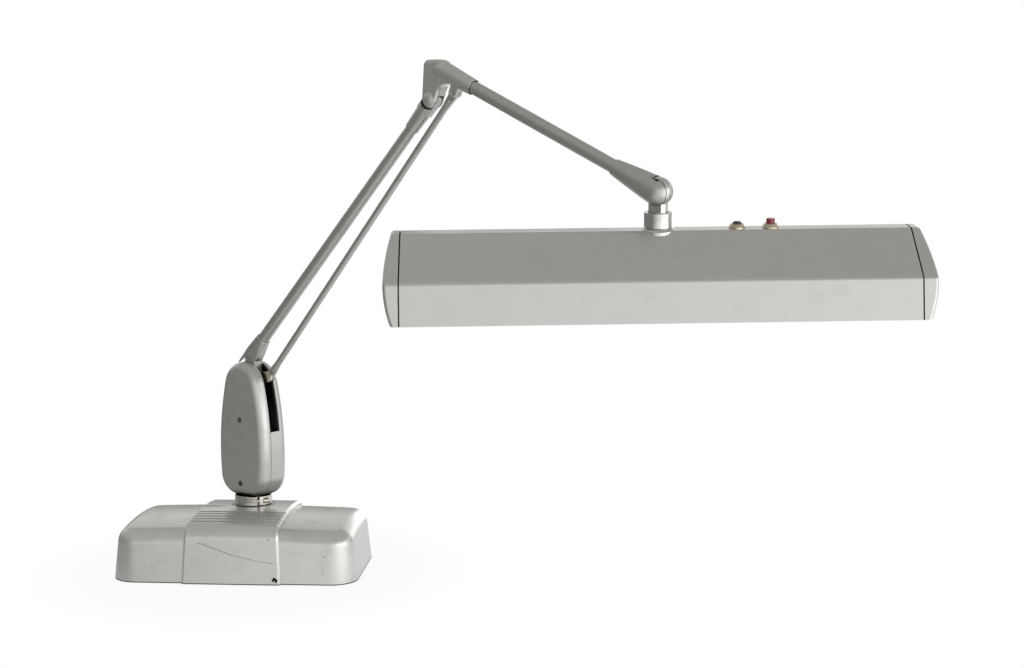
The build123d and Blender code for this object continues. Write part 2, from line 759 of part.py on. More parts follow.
# Root of the lower arm: a round socket for the tube on a forked neck that turns on the shaft
root_join = swing.to_local_coords(lower.origin + lower.x_dir * root_bottom)
with BuildPart() as lower_arm_root:
    with BuildSketch(square_to(lower, root_top)):
        Circle(root_radius)
    extrude(amount=root_mouth_rise, taper=-root_flare)
    with BuildSketch(swing):
        with Locations(pivot):
            Circle(root_clear_radius)
    extrude(amount=2 * root_clear_radius, both=True, mode=Mode.SUBTRACT)
    with BuildSketch(swing) as neck:
        with Locations(pivot):
            Circle(root_eye_radius)
        with Locations((root_join.X, root_join.Y)):
            Circle(root_neck_radius)
        make_hull(neck.edges())
    extrude(amount=root_half_thickness, both=True)
    with BuildSketch(swing) as horn:
        with Locations(pivot):
            Circle(root_hub_radius)
        with Locations(spring_head):
            Circle(root_horn_radius)
        make_hull(horn.edges())
    extrude(amount=root_half_thickness, both=True)
    with BuildSketch(swing):
        with Locations(pivot + Vector(0, fork_slot_rise)):
            Rectangle(4 * crank_length, 4 * root_eye_radius, align=(Align.CENTER, Align.MAX))
    extrude(amount=lever_half_thickness + travel_gap, both=True, mode=Mode.SUBTRACT)
    with BuildSketch(swing):
        with Locations(pivot):
            Circle(shaft_radius + pin_fit)
        with Locations(spring_head):
            Circle(spring_pin_radius + seat_fit)
    extrude(amount=root_half_thickness, both=True, mode=Mode.SUBTRACT)
    with BuildSketch(square_to(lower, root_top)):
        Circle(lower_tube_radius + seat_fit)
    extrude(amount=root_tube_depth, mode=Mode.SUBTRACT)
finish(lower_arm_root, "lower_arm_root")

# Pin through the root's horn that both springs hook on
with BuildPart() as spring_pin:
    with BuildSketch(swing):
        with Locations(spring_head):
            Circle(spring_pin_radius)
    extrude(amount=spring_side + spring_radius, both=True)
finish(spring_pin, "spring_pin")

# Lower arm tube
lower_tube_start = ferrule_start - ferrule_tube_depth
with BuildPart() as lower_arm_tube:
    with BuildSketch(square_to(lower, lower_tube_start)):
        Circle(lower_tube_radius)
        Circle(lower_tube_radius - tube_wall, mode=Mode.SUBTRACT)
    extrude(amount=root_top + root_tube_depth - lower_tube_start)
finish(lower_arm_tube, "lower_arm_tube")

# Ferrule on top of the lower tube, hollowed round the elbow's cheeks, with a flat tongue between them
with BuildPart() as lower_arm_ferrule:
    with BuildSketch(square_to(lower, ferrule_end)):
        Circle(ferrule_radius)
    extrude(amount=ferrule_start - ferrule_end, taper=ferrule_taper)
    fillet(lower_arm_ferrule.edges().sort_by(Axis.Z)[:1], ferrule_edge_radius)
    with BuildSketch(lower):
        Circle(elbow_dome_radius + 2 * travel_gap)
    extrude(amount=2 * ferrule_radius, both=True, mode=Mode.SUBTRACT)
    with BuildSketch(lower) as tongue:
        Circle(ferrule_radius)
        with Locations((ferrule_start - ferrule_tube_depth - ferrule_radius, 0)):
            Circle(ferrule_radius - travel_gap)
        make_hull(tongue.edges())
    extrude(amount=tongue_half_thickness, both=True)
    with BuildSketch(lower):
        Circle(elbow_pin_radius + pin_fit)
    extrude(amount=ferrule_radius, both=True, mode=Mode.SUBTRACT)
    with BuildSketch(square_to(lower, lower_tube_start)):
        Circle(lower_tube_radius + seat_fit)
    extrude(amount=ferrule_tube_depth, mode=Mode.SUBTRACT)
finish(lower_arm_ferrule, "lower_arm_ferrule")

# Lever on the arm shaft, forked round the control rod's foot
with BuildPart() as rod_lever:
    with BuildSketch(swing) as lever_outline:
        with Locations(pivot):
            Circle(lever_hub_radius)
        with Locations(rod_foot):
            Circle(lever_end_radius)
        make_hull(lever_outline.edges())
    extrude(amount=lever_half_thickness, both=True)
    with BuildSketch(swing):
        with Locations(rod_foot):
            Circle(lever_fork_reach)
    extrude(amount=rod_eye_half_thickness + travel_gap, both=True, mode=Mode.SUBTRACT)
    with BuildSketch(swing):
        with Locations(pivot):
            Circle(shaft_radius + pin_fit)
        with Locations(rod_foot):
            Circle(link_pin_radius + seat_fit)
    extrude(amount=lever_half_thickness, both=True, mode=Mode.SUBTRACT)
finish(rod_lever, "rod_lever")

# Pin of the lever's fork
with BuildPart() as lever_pin:
    with BuildSketch(swing):
        with Locations(rod_foot):
            Circle(link_pin_radius)
    extrude(amount=lever_half_thickness, both=True)
finish(lever_pin, "lever_pin")

# Control rod with a flattened eye at each end. Its top eye is the open pivot of the parallelogram.
with BuildPart() as control_rod:
    with BuildSketch(square_to(rod, rod_neck)):
        Circle(rod_radius)
    extrude(amount=link_length - 2 * rod_neck)
    fillet(control_rod.edges().filter_by(GeomType.CIRCLE), rod_radius / 3)
    for eye in (0, link_length):
        inward = 2 * rod_neck if eye == 0 else -2 * rod_neck
        with BuildSketch(rod) as eye_outline:
            with Locations((eye, 0)):
                Circle(rod_eye_radius)
            with Locations((eye + inward, 0)):
                Circle(rod_radius - travel_gap)
            make_hull(eye_outline.edges())
        extrude(amount=rod_eye_half_thickness, both=True)
    with BuildSketch(rod):
        Circle(link_pin_radius + pin_fit)
        with Locations((link_length, 0)):
            Circle(link_pin_radius + open_pivot_gap)
    extrude(amount=rod_radius, both=True, mode=Mode.SUBTRACT)
finish(control_rod, "control_rod")

# Elbow casting: cheeks round the ferrule's tongue, ears round the rod's eye, and a sleeve for the tube
with BuildPart() as elbow_casting:
    with BuildSketch(upper) as elbow_outline:
        with Locations((0, -upper_tube_rise)):
            Circle(elbow_cheek_radius)
        with Locations(elbow_corner):
            Circle(elbow_corner_radius)
        with Locations(elbow_brow):
            Circle(elbow_brow_radius)
        make_hull(elbow_outline.edges())
    extrude(amount=elbow_half_thickness, both=True)
    fillet(elbow_casting.faces().filter_by(Axis((0, 0, 0), swing_near)).edges(), elbow_edge_radius)
    with BuildSketch(upper):
        with BuildLine():
            Polyline((-sleeve_radius, 0), (sleeve_end, 0), (sleeve_end, sleeve_end_radius), (0, sleeve_radius))
            CenterArc((0, 0), sleeve_radius, 90, 90)
        make_face()
    revolve(axis=Axis(upper.origin, upper_axis))
    with Locations(upper.from_local_coords(Vector(0, -upper_tube_rise))):
        Sphere(elbow_dome_radius)
    with BuildSketch(upper):
        Rectangle(web_reach, web_reach, align=(Align.MIN, Align.MAX))
        with Locations((web_reach, -web_reach)):
            Circle(web_round, mode=Mode.SUBTRACT)
    extrude(amount=web_half_thickness, both=True)
    with BuildSketch(upper) as ear_outline:
        with Locations((upper_rod_top.X, upper_rod_top.Y)):
            Circle(ear_radius)
        with Locations((upper_rod_top.X, 0)):
            Circle(ear_radius)
        make_hull(ear_outline.edges())
    extrude(amount=ear_half_thickness, both=True)
    with BuildSketch(upper):
        with Locations((upper_rod_top.X, upper_rod_top.Y)):
            Circle(rod_eye_radius + 2 * travel_gap)
        with Locations((upper_rod_top.X, upper_rod_top.Y - ear_radius)):
            Rectangle(2 * ear_radius + travel_gap, 2 * ear_radius)
    extrude(amount=rod_eye_half_thickness + travel_gap, both=True, mode=Mode.SUBTRACT)
    with BuildSketch(upper):
        with Locations((0, -upper_tube_rise)):
            Circle(elbow_slot_radius)
    extrude(amount=tongue_half_thickness + travel_gap, both=True, mode=Mode.SUBTRACT)
    with BuildSketch(upper.offset(elbow_half_thickness - elbow_pin_cover)):
        with Locations((0, -upper_tube_rise)):
            Circle(elbow_pin_radius + seat_fit)
    extrude(amount=-2 * elbow_dome_radius, mode=Mode.SUBTRACT)
    with BuildSketch(upper):
        with Locations((upper_rod_top.X, upper_rod_top.Y)):
            Circle(link_pin_radius + seat_fit)
    extrude(amount=ear_half_thickness, both=True, mode=Mode.SUBTRACT)
    with BuildSketch(square_to(upper, sleeve_tube_start)):
        Circle(upper_tube_radius + seat_fit)
    extrude(amount=sleeve_end, mode=Mode.SUBTRACT)
    with BuildSketch(square_to(upper, sleeve_end)):
        Circle(upper_tube_radius + sleeve_mouth_gap)
    extrude(amount=-sleeve_mouth_depth, mode=Mode.SUBTRACT)
finish(elbow_casting, "elbow_casting")

# Elbow pin, driven in from the far cheek
with BuildPart() as elbow_pin:
    with BuildSketch(upper.offset(elbow_half_thickness - elbow_pin_cover)):
        with Locations((0, -upper_tube_rise)):
            Circle(elbow_pin_radius)
    extrude(amount=elbow_pin_cover - 2 * elbow_half_thickness)
finish(elbow_pin, "elbow_pin")

# Pin through the casting's ears
with BuildPart() as rod_top_pin:
    with BuildSketch(upper):
        with Locations((upper_rod_top.X, upper_rod_top.Y)):
            Circle(link_pin_radius)
    extrude(amount=ear_half_thickness, both=True)
finish(rod_top_pin, "rod_top_pin")

# Upper arm tube
upper_tube_length = upper_arm_length - socket_length + socket_tube_depth - sleeve_tube_start
with BuildPart() as upper_arm_tube:
    with BuildSketch(square_to(upper, sleeve_tube_start)):
        Circle(upper_tube_radius)
        Circle(upper_tube_radius - tube_wall, mode=Mode.SUBTRACT)
    extrude(amount=upper_tube_length)
finish(upper_arm_tube, "upper_arm_tube")

# Lap of the ball: its two faces, and the room for the knuckle's half behind them
lap_face = knuckle.offset(lap_offset)
near_face = lap_face.offset(lap_gap)
far_face = lap_face.offset(-lap_gap)
pin_seat_depth = ball_radius - lap_offset - lap_gap - knuckle_pin_cover
ball_room_radius = ball_radius + 2 * travel_gap
with BuildPart() as ball_room:
    with Locations(head_point):
        Sphere(ball_room_radius)
    with BuildSketch(near_face):
        Rectangle(4 * ball_radius, 4 * ball_radius)
    extrude(amount=2 * ball_radius, mode=Mode.SUBTRACT)

# Arm end: a teardrop socket that turns on the tube and ends in the near half of a lapped ball
with BuildPart() as arm_end_socket:
    with BuildSketch(knuckle):
        with BuildLine():
            Polyline((ball_radius, 0), (-socket_length, 0), (-socket_length, socket_mouth_radius))
            ThreePointArc((-socket_length, socket_mouth_radius), (-socket_length / 2, socket_waist_radius),
                          (0, ball_radius))
            CenterArc((0, 0), ball_radius, 0, 90)
        make_face()
    revolve(axis=Axis(head_point, upper_axis))
    fillet(arm_end_socket.edges().filter_by(GeomType.CIRCLE).sort_by(Axis(head_point, upper_axis))[:1],
           socket_mouth_round)
    with BuildSketch(near_face):
        with Locations((-ball_room_radius, 0)):
            Rectangle(4 * ball_radius, 4 * ball_radius, align=(Align.MIN, Align.MAX))
        with Locations((-cup_reach, 0)):
            Rectangle(4 * ball_radius, 4 * ball_radius, align=(Align.MIN, Align.MIN))
    extrude(amount=-4 * ball_radius, mode=Mode.SUBTRACT)
    add(ball_room.part, mode=Mode.SUBTRACT)
    with BuildSketch(near_face):
        with Locations((-wire_slot_length / 2, ball_radius)):
            Rectangle(wire_slot_length, 2 * wire_slot_depth)
    extrude(amount=wire_slot_width, mode=Mode.SUBTRACT)
    with BuildSketch(near_face):
        Circle(knuckle_pin_radius + seat_fit)
    extrude(amount=pin_seat_depth, mode=Mode.SUBTRACT)
    with BuildSketch(square_to(knuckle, -socket_length)):
        Circle(upper_tube_radius + pin_fit)
    extrude(amount=socket_tube_depth, mode=Mode.SUBTRACT)
finish(arm_end_socket, "arm_end_socket")

# Pin of the lapped ball, fast in the near half
with BuildPart() as knuckle_pin:
    with BuildSketch(near_face.offset(pin_seat_depth)):
        Circle(knuckle_pin_radius)
    extrude(amount=-pin_seat_depth - 2 * lap_gap - knuckle_pin_depth)
finish(knuckle_pin, "knuckle_pin")

# Knuckle: the far half of the ball on a neck and a post that carries the head
with BuildPart() as knuckle_post:
    with BuildSketch(knuckle):
        with BuildLine():
            Line((-ball_radius, 0), (ball_radius, 0))
            CenterArc((0, 0), ball_radius, 0, 180)
        make_face()
    revolve(axis=Axis(head_point, upper_axis))
    with BuildSketch(head):
        Circle(neck_radius)
    extrude(amount=-neck_shoulder)
    with BuildSketch(far_face):
        Rectangle(4 * ball_radius, 4 * ball_radius)
    extrude(amount=2 * ball_radius, mode=Mode.SUBTRACT)
    with BuildSketch(head.offset(-neck_shoulder)):
        Circle(neck_radius)
    extrude(amount=neck_shoulder - neck_end)
    with BuildSketch(head.offset(-neck_end)):
        Circle(post_radius)
    extrude(amount=neck_end - roof_drop - shade_wall - travel_gap - post_nut_thickness)
    with BuildSketch(far_face):
        Circle(knuckle_pin_radius + pin_fit)
    extrude(amount=-knuckle_pin_depth, mode=Mode.SUBTRACT)
finish(knuckle_post, "knuckle_post")

# Nut on the post, under the shade's roof
nut_top = roof_drop + shade_wall + travel_gap
with BuildPart() as post_nut:
    with BuildSketch(head.offset(-nut_top)):
        RegularPolygon(post_nut_radius, 6)
        Circle(post_radius + seat_fit, mode=Mode.SUBTRACT)
    extrude(amount=-post_nut_thickness)
finish(post_nut, "post_nut")

# Shade outline: a flat roof, slopes and flared skirts
slope_angle = atan2(slope_drop, slope_out)
skirt_angle = atan2(skirt_out, skirt_drop)
knee_turn = pi / 2 - skirt_angle - slope_angle


def shade_outline(inset, reach=0):
    """Corner points of the shade's section, drawn in by inset and reaching further down."""
    roof_x = roof_half - inset * tan(slope_angle / 2)
    roof_z = -roof_drop - inset
    knee_x = roof_half + slope_out - inset * (sin(slope_angle) + tan(knee_turn / 2) * cos(slope_angle))
    knee_z = -roof_drop - slope_drop - inset * (cos(slope_angle) - tan(knee_turn / 2) * sin(slope_angle))
    foot_z = -roof_drop - slope_drop - skirt_drop - reach
    foot_x = knee_x + (knee_z - foot_z) * tan(skirt_angle)
    half = [(foot_x, foot_z), (knee_x, knee_z), (roof_x, roof_z)]
    return [(-x, z) for x, z in half] + half[::-1]


def shade_block(start, length, inset, reach=0):
    """A solid bar with the shade's section, from start along the shade."""
    outline = shade_outline(inset, reach)
    with BuildPart() as block:
        with BuildSketch(head_section(start)):
            with BuildLine():
                FilletPolyline(*outline, radius=shade_bend_radius - inset)
                Line(outline[-1], outline[0])
            make_face()
        extrude(amount=length)
    return block.part


shade_start = -shade_length / 2
shade_outside = shade_block(shade_start, shade_length, 0)
shade_inside = shade_block(shade_start, shade_length, shade_wall, shade_wall)
button_places = [(stop_button_x, 0), (start_button_x, 0)]

# Folded sheet shade
with BuildPart() as shade:
    add(shade_outside)
    add(shade_inside, mode=Mode.SUBTRACT)
    with BuildSketch(head.offset(-roof_drop - roof_half)):
        Circle(post_radius + travel_gap)
        with Locations(button_places):
            Circle(bezel_thread_radius + seat_fit)
    extrude(amount=2 * roof_half, mode=Mode.SUBTRACT)
finish(shade, "shade")

# End caps: shallow pressed pans with round edges and a lip that slips into the shade
cap_dome_drop = roof_drop + (slope_drop + skirt_drop) / 2
for name, side in (("end_cap_left", -1), ("end_cap_right", 1)):
    seam_x = side * (shade_length / 2 + cap_seam)
    lip_x = seam_x - side * cap_lip
    lip_inset = shade_wall + seat_fit
    dome_x = seam_x + side * (cap_length - cap_dome_radius) + shade_shift
    pan = shade_block(seam_x, side * cap_length, 0)
    lip = shade_block(lip_x, side * cap_lip, lip_inset)
    bore = shade_block(lip_x, side * (cap_lip + cap_length), lip_inset + shade_wall, shade_wall)
    with BuildPart() as hollow:
        add(bore)
        with BuildSketch(head_half):
            with Locations((dome_x, -cap_dome_drop)):
                Circle(cap_dome_radius - shade_wall)
        extrude(amount=slope_out + skirt_drop, both=True, mode=Mode.INTERSECT)
    with BuildPart() as end_cap:
        add(pan)
        with BuildSketch(head_half):
            with Locations((dome_x, -cap_dome_drop)):
                Circle(cap_dome_radius)
        extrude(amount=slope_out + skirt_drop, both=True, mode=Mode.INTERSECT)
        fillet(end_cap.faces().sort_by(Axis(head_point, shade_along * side))[-1].edges(), cap_edge_radius)
        add(lip)
        add(hollow.part, mode=Mode.SUBTRACT)
    finish(end_cap, name)

# Collar that the post turns in, recessed round the neck
with BuildPart() as swivel_collar:
    with BuildSketch(head.offset(-collar_bottom)):
        Circle(collar_radius)
    extrude(amount=collar_bottom - collar_top)
    fillet(swivel_collar.edges().filter_by(GeomType.CIRCLE), collar_edge_radius)
    with BuildSketch(head.offset(-collar_bottom)):
        Circle(post_radius + pin_fit)
    extrude(amount=collar_bottom, mode=Mode.SUBTRACT)
    with BuildSketch(head.offset(-neck_end - travel_gap)):
        Circle(collar_recess_radius)
    extrude(amount=neck_end, mode=Mode.SUBTRACT)
finish(swivel_collar, "swivel_collar")

# Domed washer that saddles the roof under the collar
saddle_bore = post_radius + 3 * pin_fit
saddle_brim = -collar_bottom - saddle_round_drop
saddle_foot = -roof_drop - roof_half
with BuildPart() as saddle_washer:
    with BuildSketch(head_half):
        with BuildLine():
            Polyline((saddle_flat_radius, -collar_bottom), (saddle_bore, -collar_bottom),
                     (saddle_bore, saddle_foot), (saddle_radius, saddle_foot), (saddle_radius, saddle_brim))
            RadiusArc((saddle_radius, saddle_brim), (saddle_flat_radius, -collar_bottom),
                      -hypot(saddle_radius - saddle_flat_radius, saddle_round_drop))
        make_face()
    revolve(axis=post_line)
    add(shade_outside, mode=Mode.SUBTRACT)
finish(saddle_washer, "saddle_washer")

# Cross plates near the shade's ends, which carry the lampholders
with BuildPart() as end_plates:
    for side in (-1, 1):
        outline = shade_outline(shade_wall + seat_fit)
        with BuildSketch(head_section(side * end_plate_x)):
            with BuildLine():
                FilletPolyline(*outline, radius=shade_bend_radius - shade_wall - seat_fit)
                Line(outline[-1], outline[0])
            make_face()
            with Locations((0, -roof_drop - end_plate_drop)):
                Rectangle(4 * slope_out, 4 * slope_drop, align=(Align.CENTER, Align.MAX), mode=Mode.SUBTRACT)
        extrude(amount=side * end_plate_thickness)
finish(end_plates, "end_plates")

# White reflector folded from sheet, with lips that reach the skirts
reflector_length = lamp_length
reflector_roof_z = -roof_drop - reflector_roof_drop
lip_z = -roof_drop - reflector_foot[1]
lip_outline = shade_outline(shade_wall, 0)
lip_x = lip_outline[4][0] + (lip_outline[4][1] - lip_z) * tan(skirt_angle) - reflector_lip_gap
reflector_half = [(lip_x, lip_z), (reflector_foot[0], lip_z),
                  (reflector_knee[0], -roof_drop - reflector_knee[1]),
                  (reflector_roof_half, reflector_roof_z)]
with BuildPart() as reflector:
    with BuildSketch(head_section(-reflector_length / 2)):
        with BuildLine():
            Polyline(*[(-x, z) for x, z in reflector_half], *reflector_half[::-1])
        trace(line_width=reflector_wall)
    extrude(amount=reflector_length)
finish(reflector, "reflector")

# Two channel brackets that hang the reflector from the roof
reflector_top = reflector_roof_z + reflector_wall / 2
bracket_top = -roof_drop - shade_wall
with BuildPart() as reflector_brackets:
    for place in (-bracket_x, bracket_x):
        with BuildSketch(head_section(place)):
            with Locations((0, (bracket_top + reflector_top) / 2)):
                Rectangle(2 * bracket_half, bracket_top - reflector_top)
                Rectangle(2 * (bracket_half - bracket_wall), bracket_top - reflector_top - 2 * bracket_wall,
                          mode=Mode.SUBTRACT)
        extrude(amount=bracket_length / 2, both=True)
finish(reflector_brackets, "reflector_brackets")

# Wiring cover along the middle of the reflector
wireway_top = reflector_roof_z - reflector_wall / 2
with BuildPart() as wireway_cover:
    with BuildSketch(head_section(-reflector_length / 2)):
        with Locations((0, wireway_top)):
            Rectangle(2 * wireway_half, wireway_height, align=(Align.CENTER, Align.MAX))
            Rectangle(2 * (wireway_half - wireway_wall), wireway_height - wireway_wall,
                      align=(Align.CENTER, Align.MAX), mode=Mode.SUBTRACT)
    extrude(amount=reflector_length)
finish(wireway_cover, "wireway_cover")

# Fluorescent tubes: glass, and a metal end with two pins at each end
tube_z = -roof_drop - tube_drop
low_pin = tube_z - lamp_pin_spacing / 2
high_pin = tube_z + lamp_pin_spacing / 2
tube_places = {"lamp_tube_front": -tube_spacing / 2, "lamp_tube_rear": tube_spacing / 2}
for name, tube_y in tube_places.items():
    with BuildPart() as lamp_tube:
        with BuildSketch(head_section(-lamp_length / 2 + lamp_end_wall)):
            with Locations((tube_y, tube_z)):
                Circle(lamp_radius)
                Circle(lamp_radius - lamp_glass, mode=Mode.SUBTRACT)
        extrude(amount=lamp_length - 2 * lamp_end_wall)
    finish(lamp_tube, name)

lamp_end_inner = lamp_radius + seat_fit
with BuildPart() as lamp_ends:
    for side in (-1, 1):
        for tube_y in tube_places.values():
            end_face = head_section(side * lamp_length / 2)
            with BuildSketch(end_face):
                with Locations((tube_y, tube_z)):
                    Circle(lamp_end_inner + lamp_end_wall)
            extrude(amount=-side * lamp_end_length)
            with BuildSketch(end_face.offset(-side * lamp_end_wall)):
                with Locations((tube_y, tube_z)):
                    Circle(lamp_end_inner)
            extrude(amount=-side * lamp_end_length, mode=Mode.SUBTRACT)
            with BuildSketch(end_face):
                with Locations((tube_y, low_pin), (tube_y, high_pin)):
                    Circle(lamp_pin_radius)
            extrude(amount=side * lamp_pin_length)
finish(lamp_ends, "lamp_ends")

# Four moulded lampholders on the end plates
holder_start = lamp_length / 2 + holder_gap
with BuildPart() as lampholders:
    for side in (-1, 1):
        for tube_y in tube_places.values():
            holder_face = head_section(side * holder_start)
            with BuildSketch(holder_face) as holder_outline:
                with Locations((tube_y, tube_z)):
                    Circle(holder_radius)
                with Locations((tube_y, -roof_drop - holder_top_drop)):
                    Rectangle(2 * holder_radius, holder_radius, align=(Align.CENTER, Align.MAX))
                make_hull(holder_outline.edges())
            extrude(amount=side * (end_plate_x - holder_start))
            with BuildSketch(holder_face):
                with Locations((tube_y, low_pin), (tube_y, high_pin)):
                    Circle(lamp_pin_radius + pin_fit)
            extrude(amount=side * lamp_pin_length, mode=Mode.SUBTRACT)
finish(lampholders, "lampholders")

# Push switches under the roof with their bezels and buttons: stop is a black dome, start a red rod
for name, button_x, button_radius, button_top in (
    ("stop", stop_button_x, stop_button_radius, stop_button_top),
    ("start", start_button_x, start_button_radius, start_button_top),
):
    roof_spot = head_point + shade_along * button_x - post_up * roof_drop
    roof_here = Plane(roof_spot, x_dir=shade_along, z_dir=post_up)
    turned = Plane(roof_here.origin, x_dir=shade_along, z_dir=-head.y_dir)
    button_line = Axis(roof_here.origin, post_up)

    with BuildPart() as switch_body:
        with BuildSketch(roof_here.offset(-shade_wall)):
            RectangleRounded(switch_width, switch_depth, switch_corner_radius)
        extrude(amount=-switch_height)
        with BuildSketch(roof_here.offset(-shade_wall)):
            Circle(bezel_thread_radius + seat_fit)
        extrude(amount=-switch_room, mode=Mode.SUBTRACT)
    finish(switch_body, f"{name}_switch")

    bore = button_radius + pin_fit
    with BuildPart() as bezel:
        with BuildSketch(turned):
            with BuildLine():
                Polyline((bore, -bezel_thread_length), (bezel_thread_radius, -bezel_thread_length),
                         (bezel_thread_radius, 0), (bezel_radius, 0), (bezel_radius, bezel_rim),
                         (bezel_top_radius, bezel_height), (bore, bezel_height), close=True)
            make_face()
        revolve(axis=button_line)
    finish(bezel, f"{name}_bezel")

    with BuildPart() as button:
        with BuildSketch(roof_here.offset(-button_root)):
            Circle(button_radius)
        extrude(amount=button_root + button_top)
        button_rim = button.edges().filter_by(GeomType.CIRCLE).sort_by(button_line)[-1:]
        if name == "stop":
            fillet(button_rim, stop_button_round)
        else:
            fillet(button_rim, start_button_chamfer)
    finish(button, f"{name}_button")
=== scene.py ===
from math import cos, pi, radians, sin

import bmesh
import bpy
from mathutils import Matrix, Vector


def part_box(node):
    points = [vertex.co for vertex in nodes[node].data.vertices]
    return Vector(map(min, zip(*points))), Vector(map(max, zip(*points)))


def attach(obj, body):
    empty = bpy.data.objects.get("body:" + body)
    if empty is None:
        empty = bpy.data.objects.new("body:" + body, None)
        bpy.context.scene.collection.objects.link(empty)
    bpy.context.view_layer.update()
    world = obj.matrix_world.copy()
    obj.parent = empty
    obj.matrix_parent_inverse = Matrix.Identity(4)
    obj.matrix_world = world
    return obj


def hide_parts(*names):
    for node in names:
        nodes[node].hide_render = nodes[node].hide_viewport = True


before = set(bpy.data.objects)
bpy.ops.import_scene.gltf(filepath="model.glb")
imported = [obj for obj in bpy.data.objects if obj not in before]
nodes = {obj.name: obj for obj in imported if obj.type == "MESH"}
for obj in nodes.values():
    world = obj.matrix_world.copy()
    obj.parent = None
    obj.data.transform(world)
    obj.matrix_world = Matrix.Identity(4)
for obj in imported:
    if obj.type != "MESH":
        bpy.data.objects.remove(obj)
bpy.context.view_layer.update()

scene = bpy.context.scene
scene.view_settings.view_transform = "Standard"


# Camera. A long lens at about the height of the elbow, a little left of the shade's middle and
# looking slightly down, as the lamp was photographed.
lens_place = (0.4446, -1.9965, 0.5136)
lens_turn = (radians(83.6), 0.0, radians(3.5))
focal_length = 58.0
lens = bpy.data.cameras.new("photo_lens")
lens.lens = focal_length
lens.sensor_width = 36.0
camera = bpy.data.objects.new("photo_camera", lens)
camera.location = lens_place
camera.rotation_euler = lens_turn
scene.collection.objects.link(camera)
scene.camera = camera


# Studio. A white room, bright in front and brightest on the right, dim on the left, above and behind.
# A lit strip stands high behind the lamp. Metal mirrors that room, while the picture shows plain white.
def put(tree, kind, inputs=None, **settings):
    """Adds a shader node; inputs are sockets to join or plain values, settings its properties."""
    node = tree.nodes.new(kind)
    for name, value in settings.items():
        setattr(node, name, value)
    for key, value in (inputs or {}).items():
        if isinstance(value, bpy.types.NodeSocket):
            tree.links.new(value, node.inputs[key])
        else:
            node.inputs[key].default_value = value
    return node


def reckon(tree, operation, first, second=0.0):
    """A Math node's result."""
    return put(tree, "ShaderNodeMath", {0: first, 1: second}, operation=operation).outputs[0]


def fade(tree, value, start, stop, low=0.0, high=1.0):
    """A soft step: low at start, high at stop."""
    inputs = {"Value": value, "From Min": start, "From Max": stop, "To Min": low, "To Max": high}
    return put(tree, "ShaderNodeMapRange", inputs, interpolation_type="SMOOTHSTEP").outputs[0]


room_round = [(0.0, 0.34), (0.12, 0.2), (0.36, 0.22), (0.44, 0.62), (0.5, 0.98), (0.55, 1.12), (0.62, 1.9),
              (0.69, 2.2), (0.75, 1.6), (0.8, 0.8), (0.88, 0.45), (1.0, 0.34)]
room_top = 0.39
window_light = 0.85
brightest = 2.6
world = bpy.data.worlds.new("white_room")
scene.world = world
world.use_nodes = True
air = world.node_tree
air.nodes.clear()
way = put(air, "ShaderNodeSeparateXYZ", {0: put(air, "ShaderNodeTexCoord").outputs["Generated"]})
across, inward, upward = way.outputs
bearing = reckon(air, "ARCTAN2", across, reckon(air, "MULTIPLY", inward, -1.0))
turn_share = put(air, "ShaderNodeMapRange", {"Value": bearing, "From Min": -pi, "From Max": pi}).outputs[0]
walls = put(air, "ShaderNodeValToRGB", {0: turn_share})
walls.color_ramp.interpolation = "EASE"


def room_tint(light):
    """The room's colour at a brightness: warm where it is dim, neutral where it is bright."""
    warm = min(1.0, max(0.0, 1.1 - light))
    return tuple(light / brightest * part for part in (1.0, 1.0 - 0.012 * warm, 1.0 - 0.09 * warm)) + (1.0,)


stops = walls.color_ramp.elements
for number, (turn, light) in enumerate(room_round):
    stop = stops[0] if number == 0 else stops.new(turn)
    stop.position = turn
    stop.color = room_tint(light)
overhead = fade(air, upward, 0.16, 0.55)
room = put(air, "ShaderNodeMix", {0: overhead}, data_type="RGBA")
air.links.new(walls.outputs[0], room.inputs[6])
room.inputs[7].default_value = room_tint(room_top)
behind = fade(air, inward, 0.2, 0.7)
window = reckon(air, "MULTIPLY", fade(air, upward, 0.165, 0.23), fade(air, upward, 0.6, 0.3))
lit_room = put(air, "ShaderNodeMix", {0: reckon(air, "MULTIPLY", behind, window)}, data_type="RGBA")
air.links.new(room.outputs[2], lit_room.inputs[6])
lit_room.inputs[7].default_value = room_tint(window_light)
ray = put(air, "ShaderNodeLightPath")
seen_straight = reckon(air, "MAXIMUM", ray.outputs["Is Camera Ray"], ray.outputs["Is Transmission Ray"])
room_light = put(air, "ShaderNodeBackground", {"Color": lit_room.outputs[2], "Strength": brightest})
white_wall = put(air, "ShaderNodeBackground", {"Color": (1.0, 1.0, 1.0, 1.0), "Strength": 1.0})
chosen = put(air, "ShaderNodeMixShader",
             {0: seen_straight, 1: room_light.outputs[0], 2: white_wall.outputs[0]})
put(air, "ShaderNodeOutputWorld", {"Surface": chosen.outputs[0]})

lamp_place = Vector((0.1, -1.7, 2.0))
lamp_aim = Vector((0.35, -0.15, 0.25))
lamp_data = bpy.data.lights.new("soft_box", "AREA")
lamp_data.shape = "RECTANGLE"
lamp_data.size = 1.8
lamp_data.size_y = 1.2
lamp_data.energy = 26.0
soft_box = bpy.data.objects.new("soft_box", lamp_data)
soft_box.location = lamp_place
soft_box.rotation_euler = (lamp_aim - lamp_place).to_track_quat("-Z", "Y").to_euler()
soft_box.visible_glossy = False
scene.collection.objects.link(soft_box)

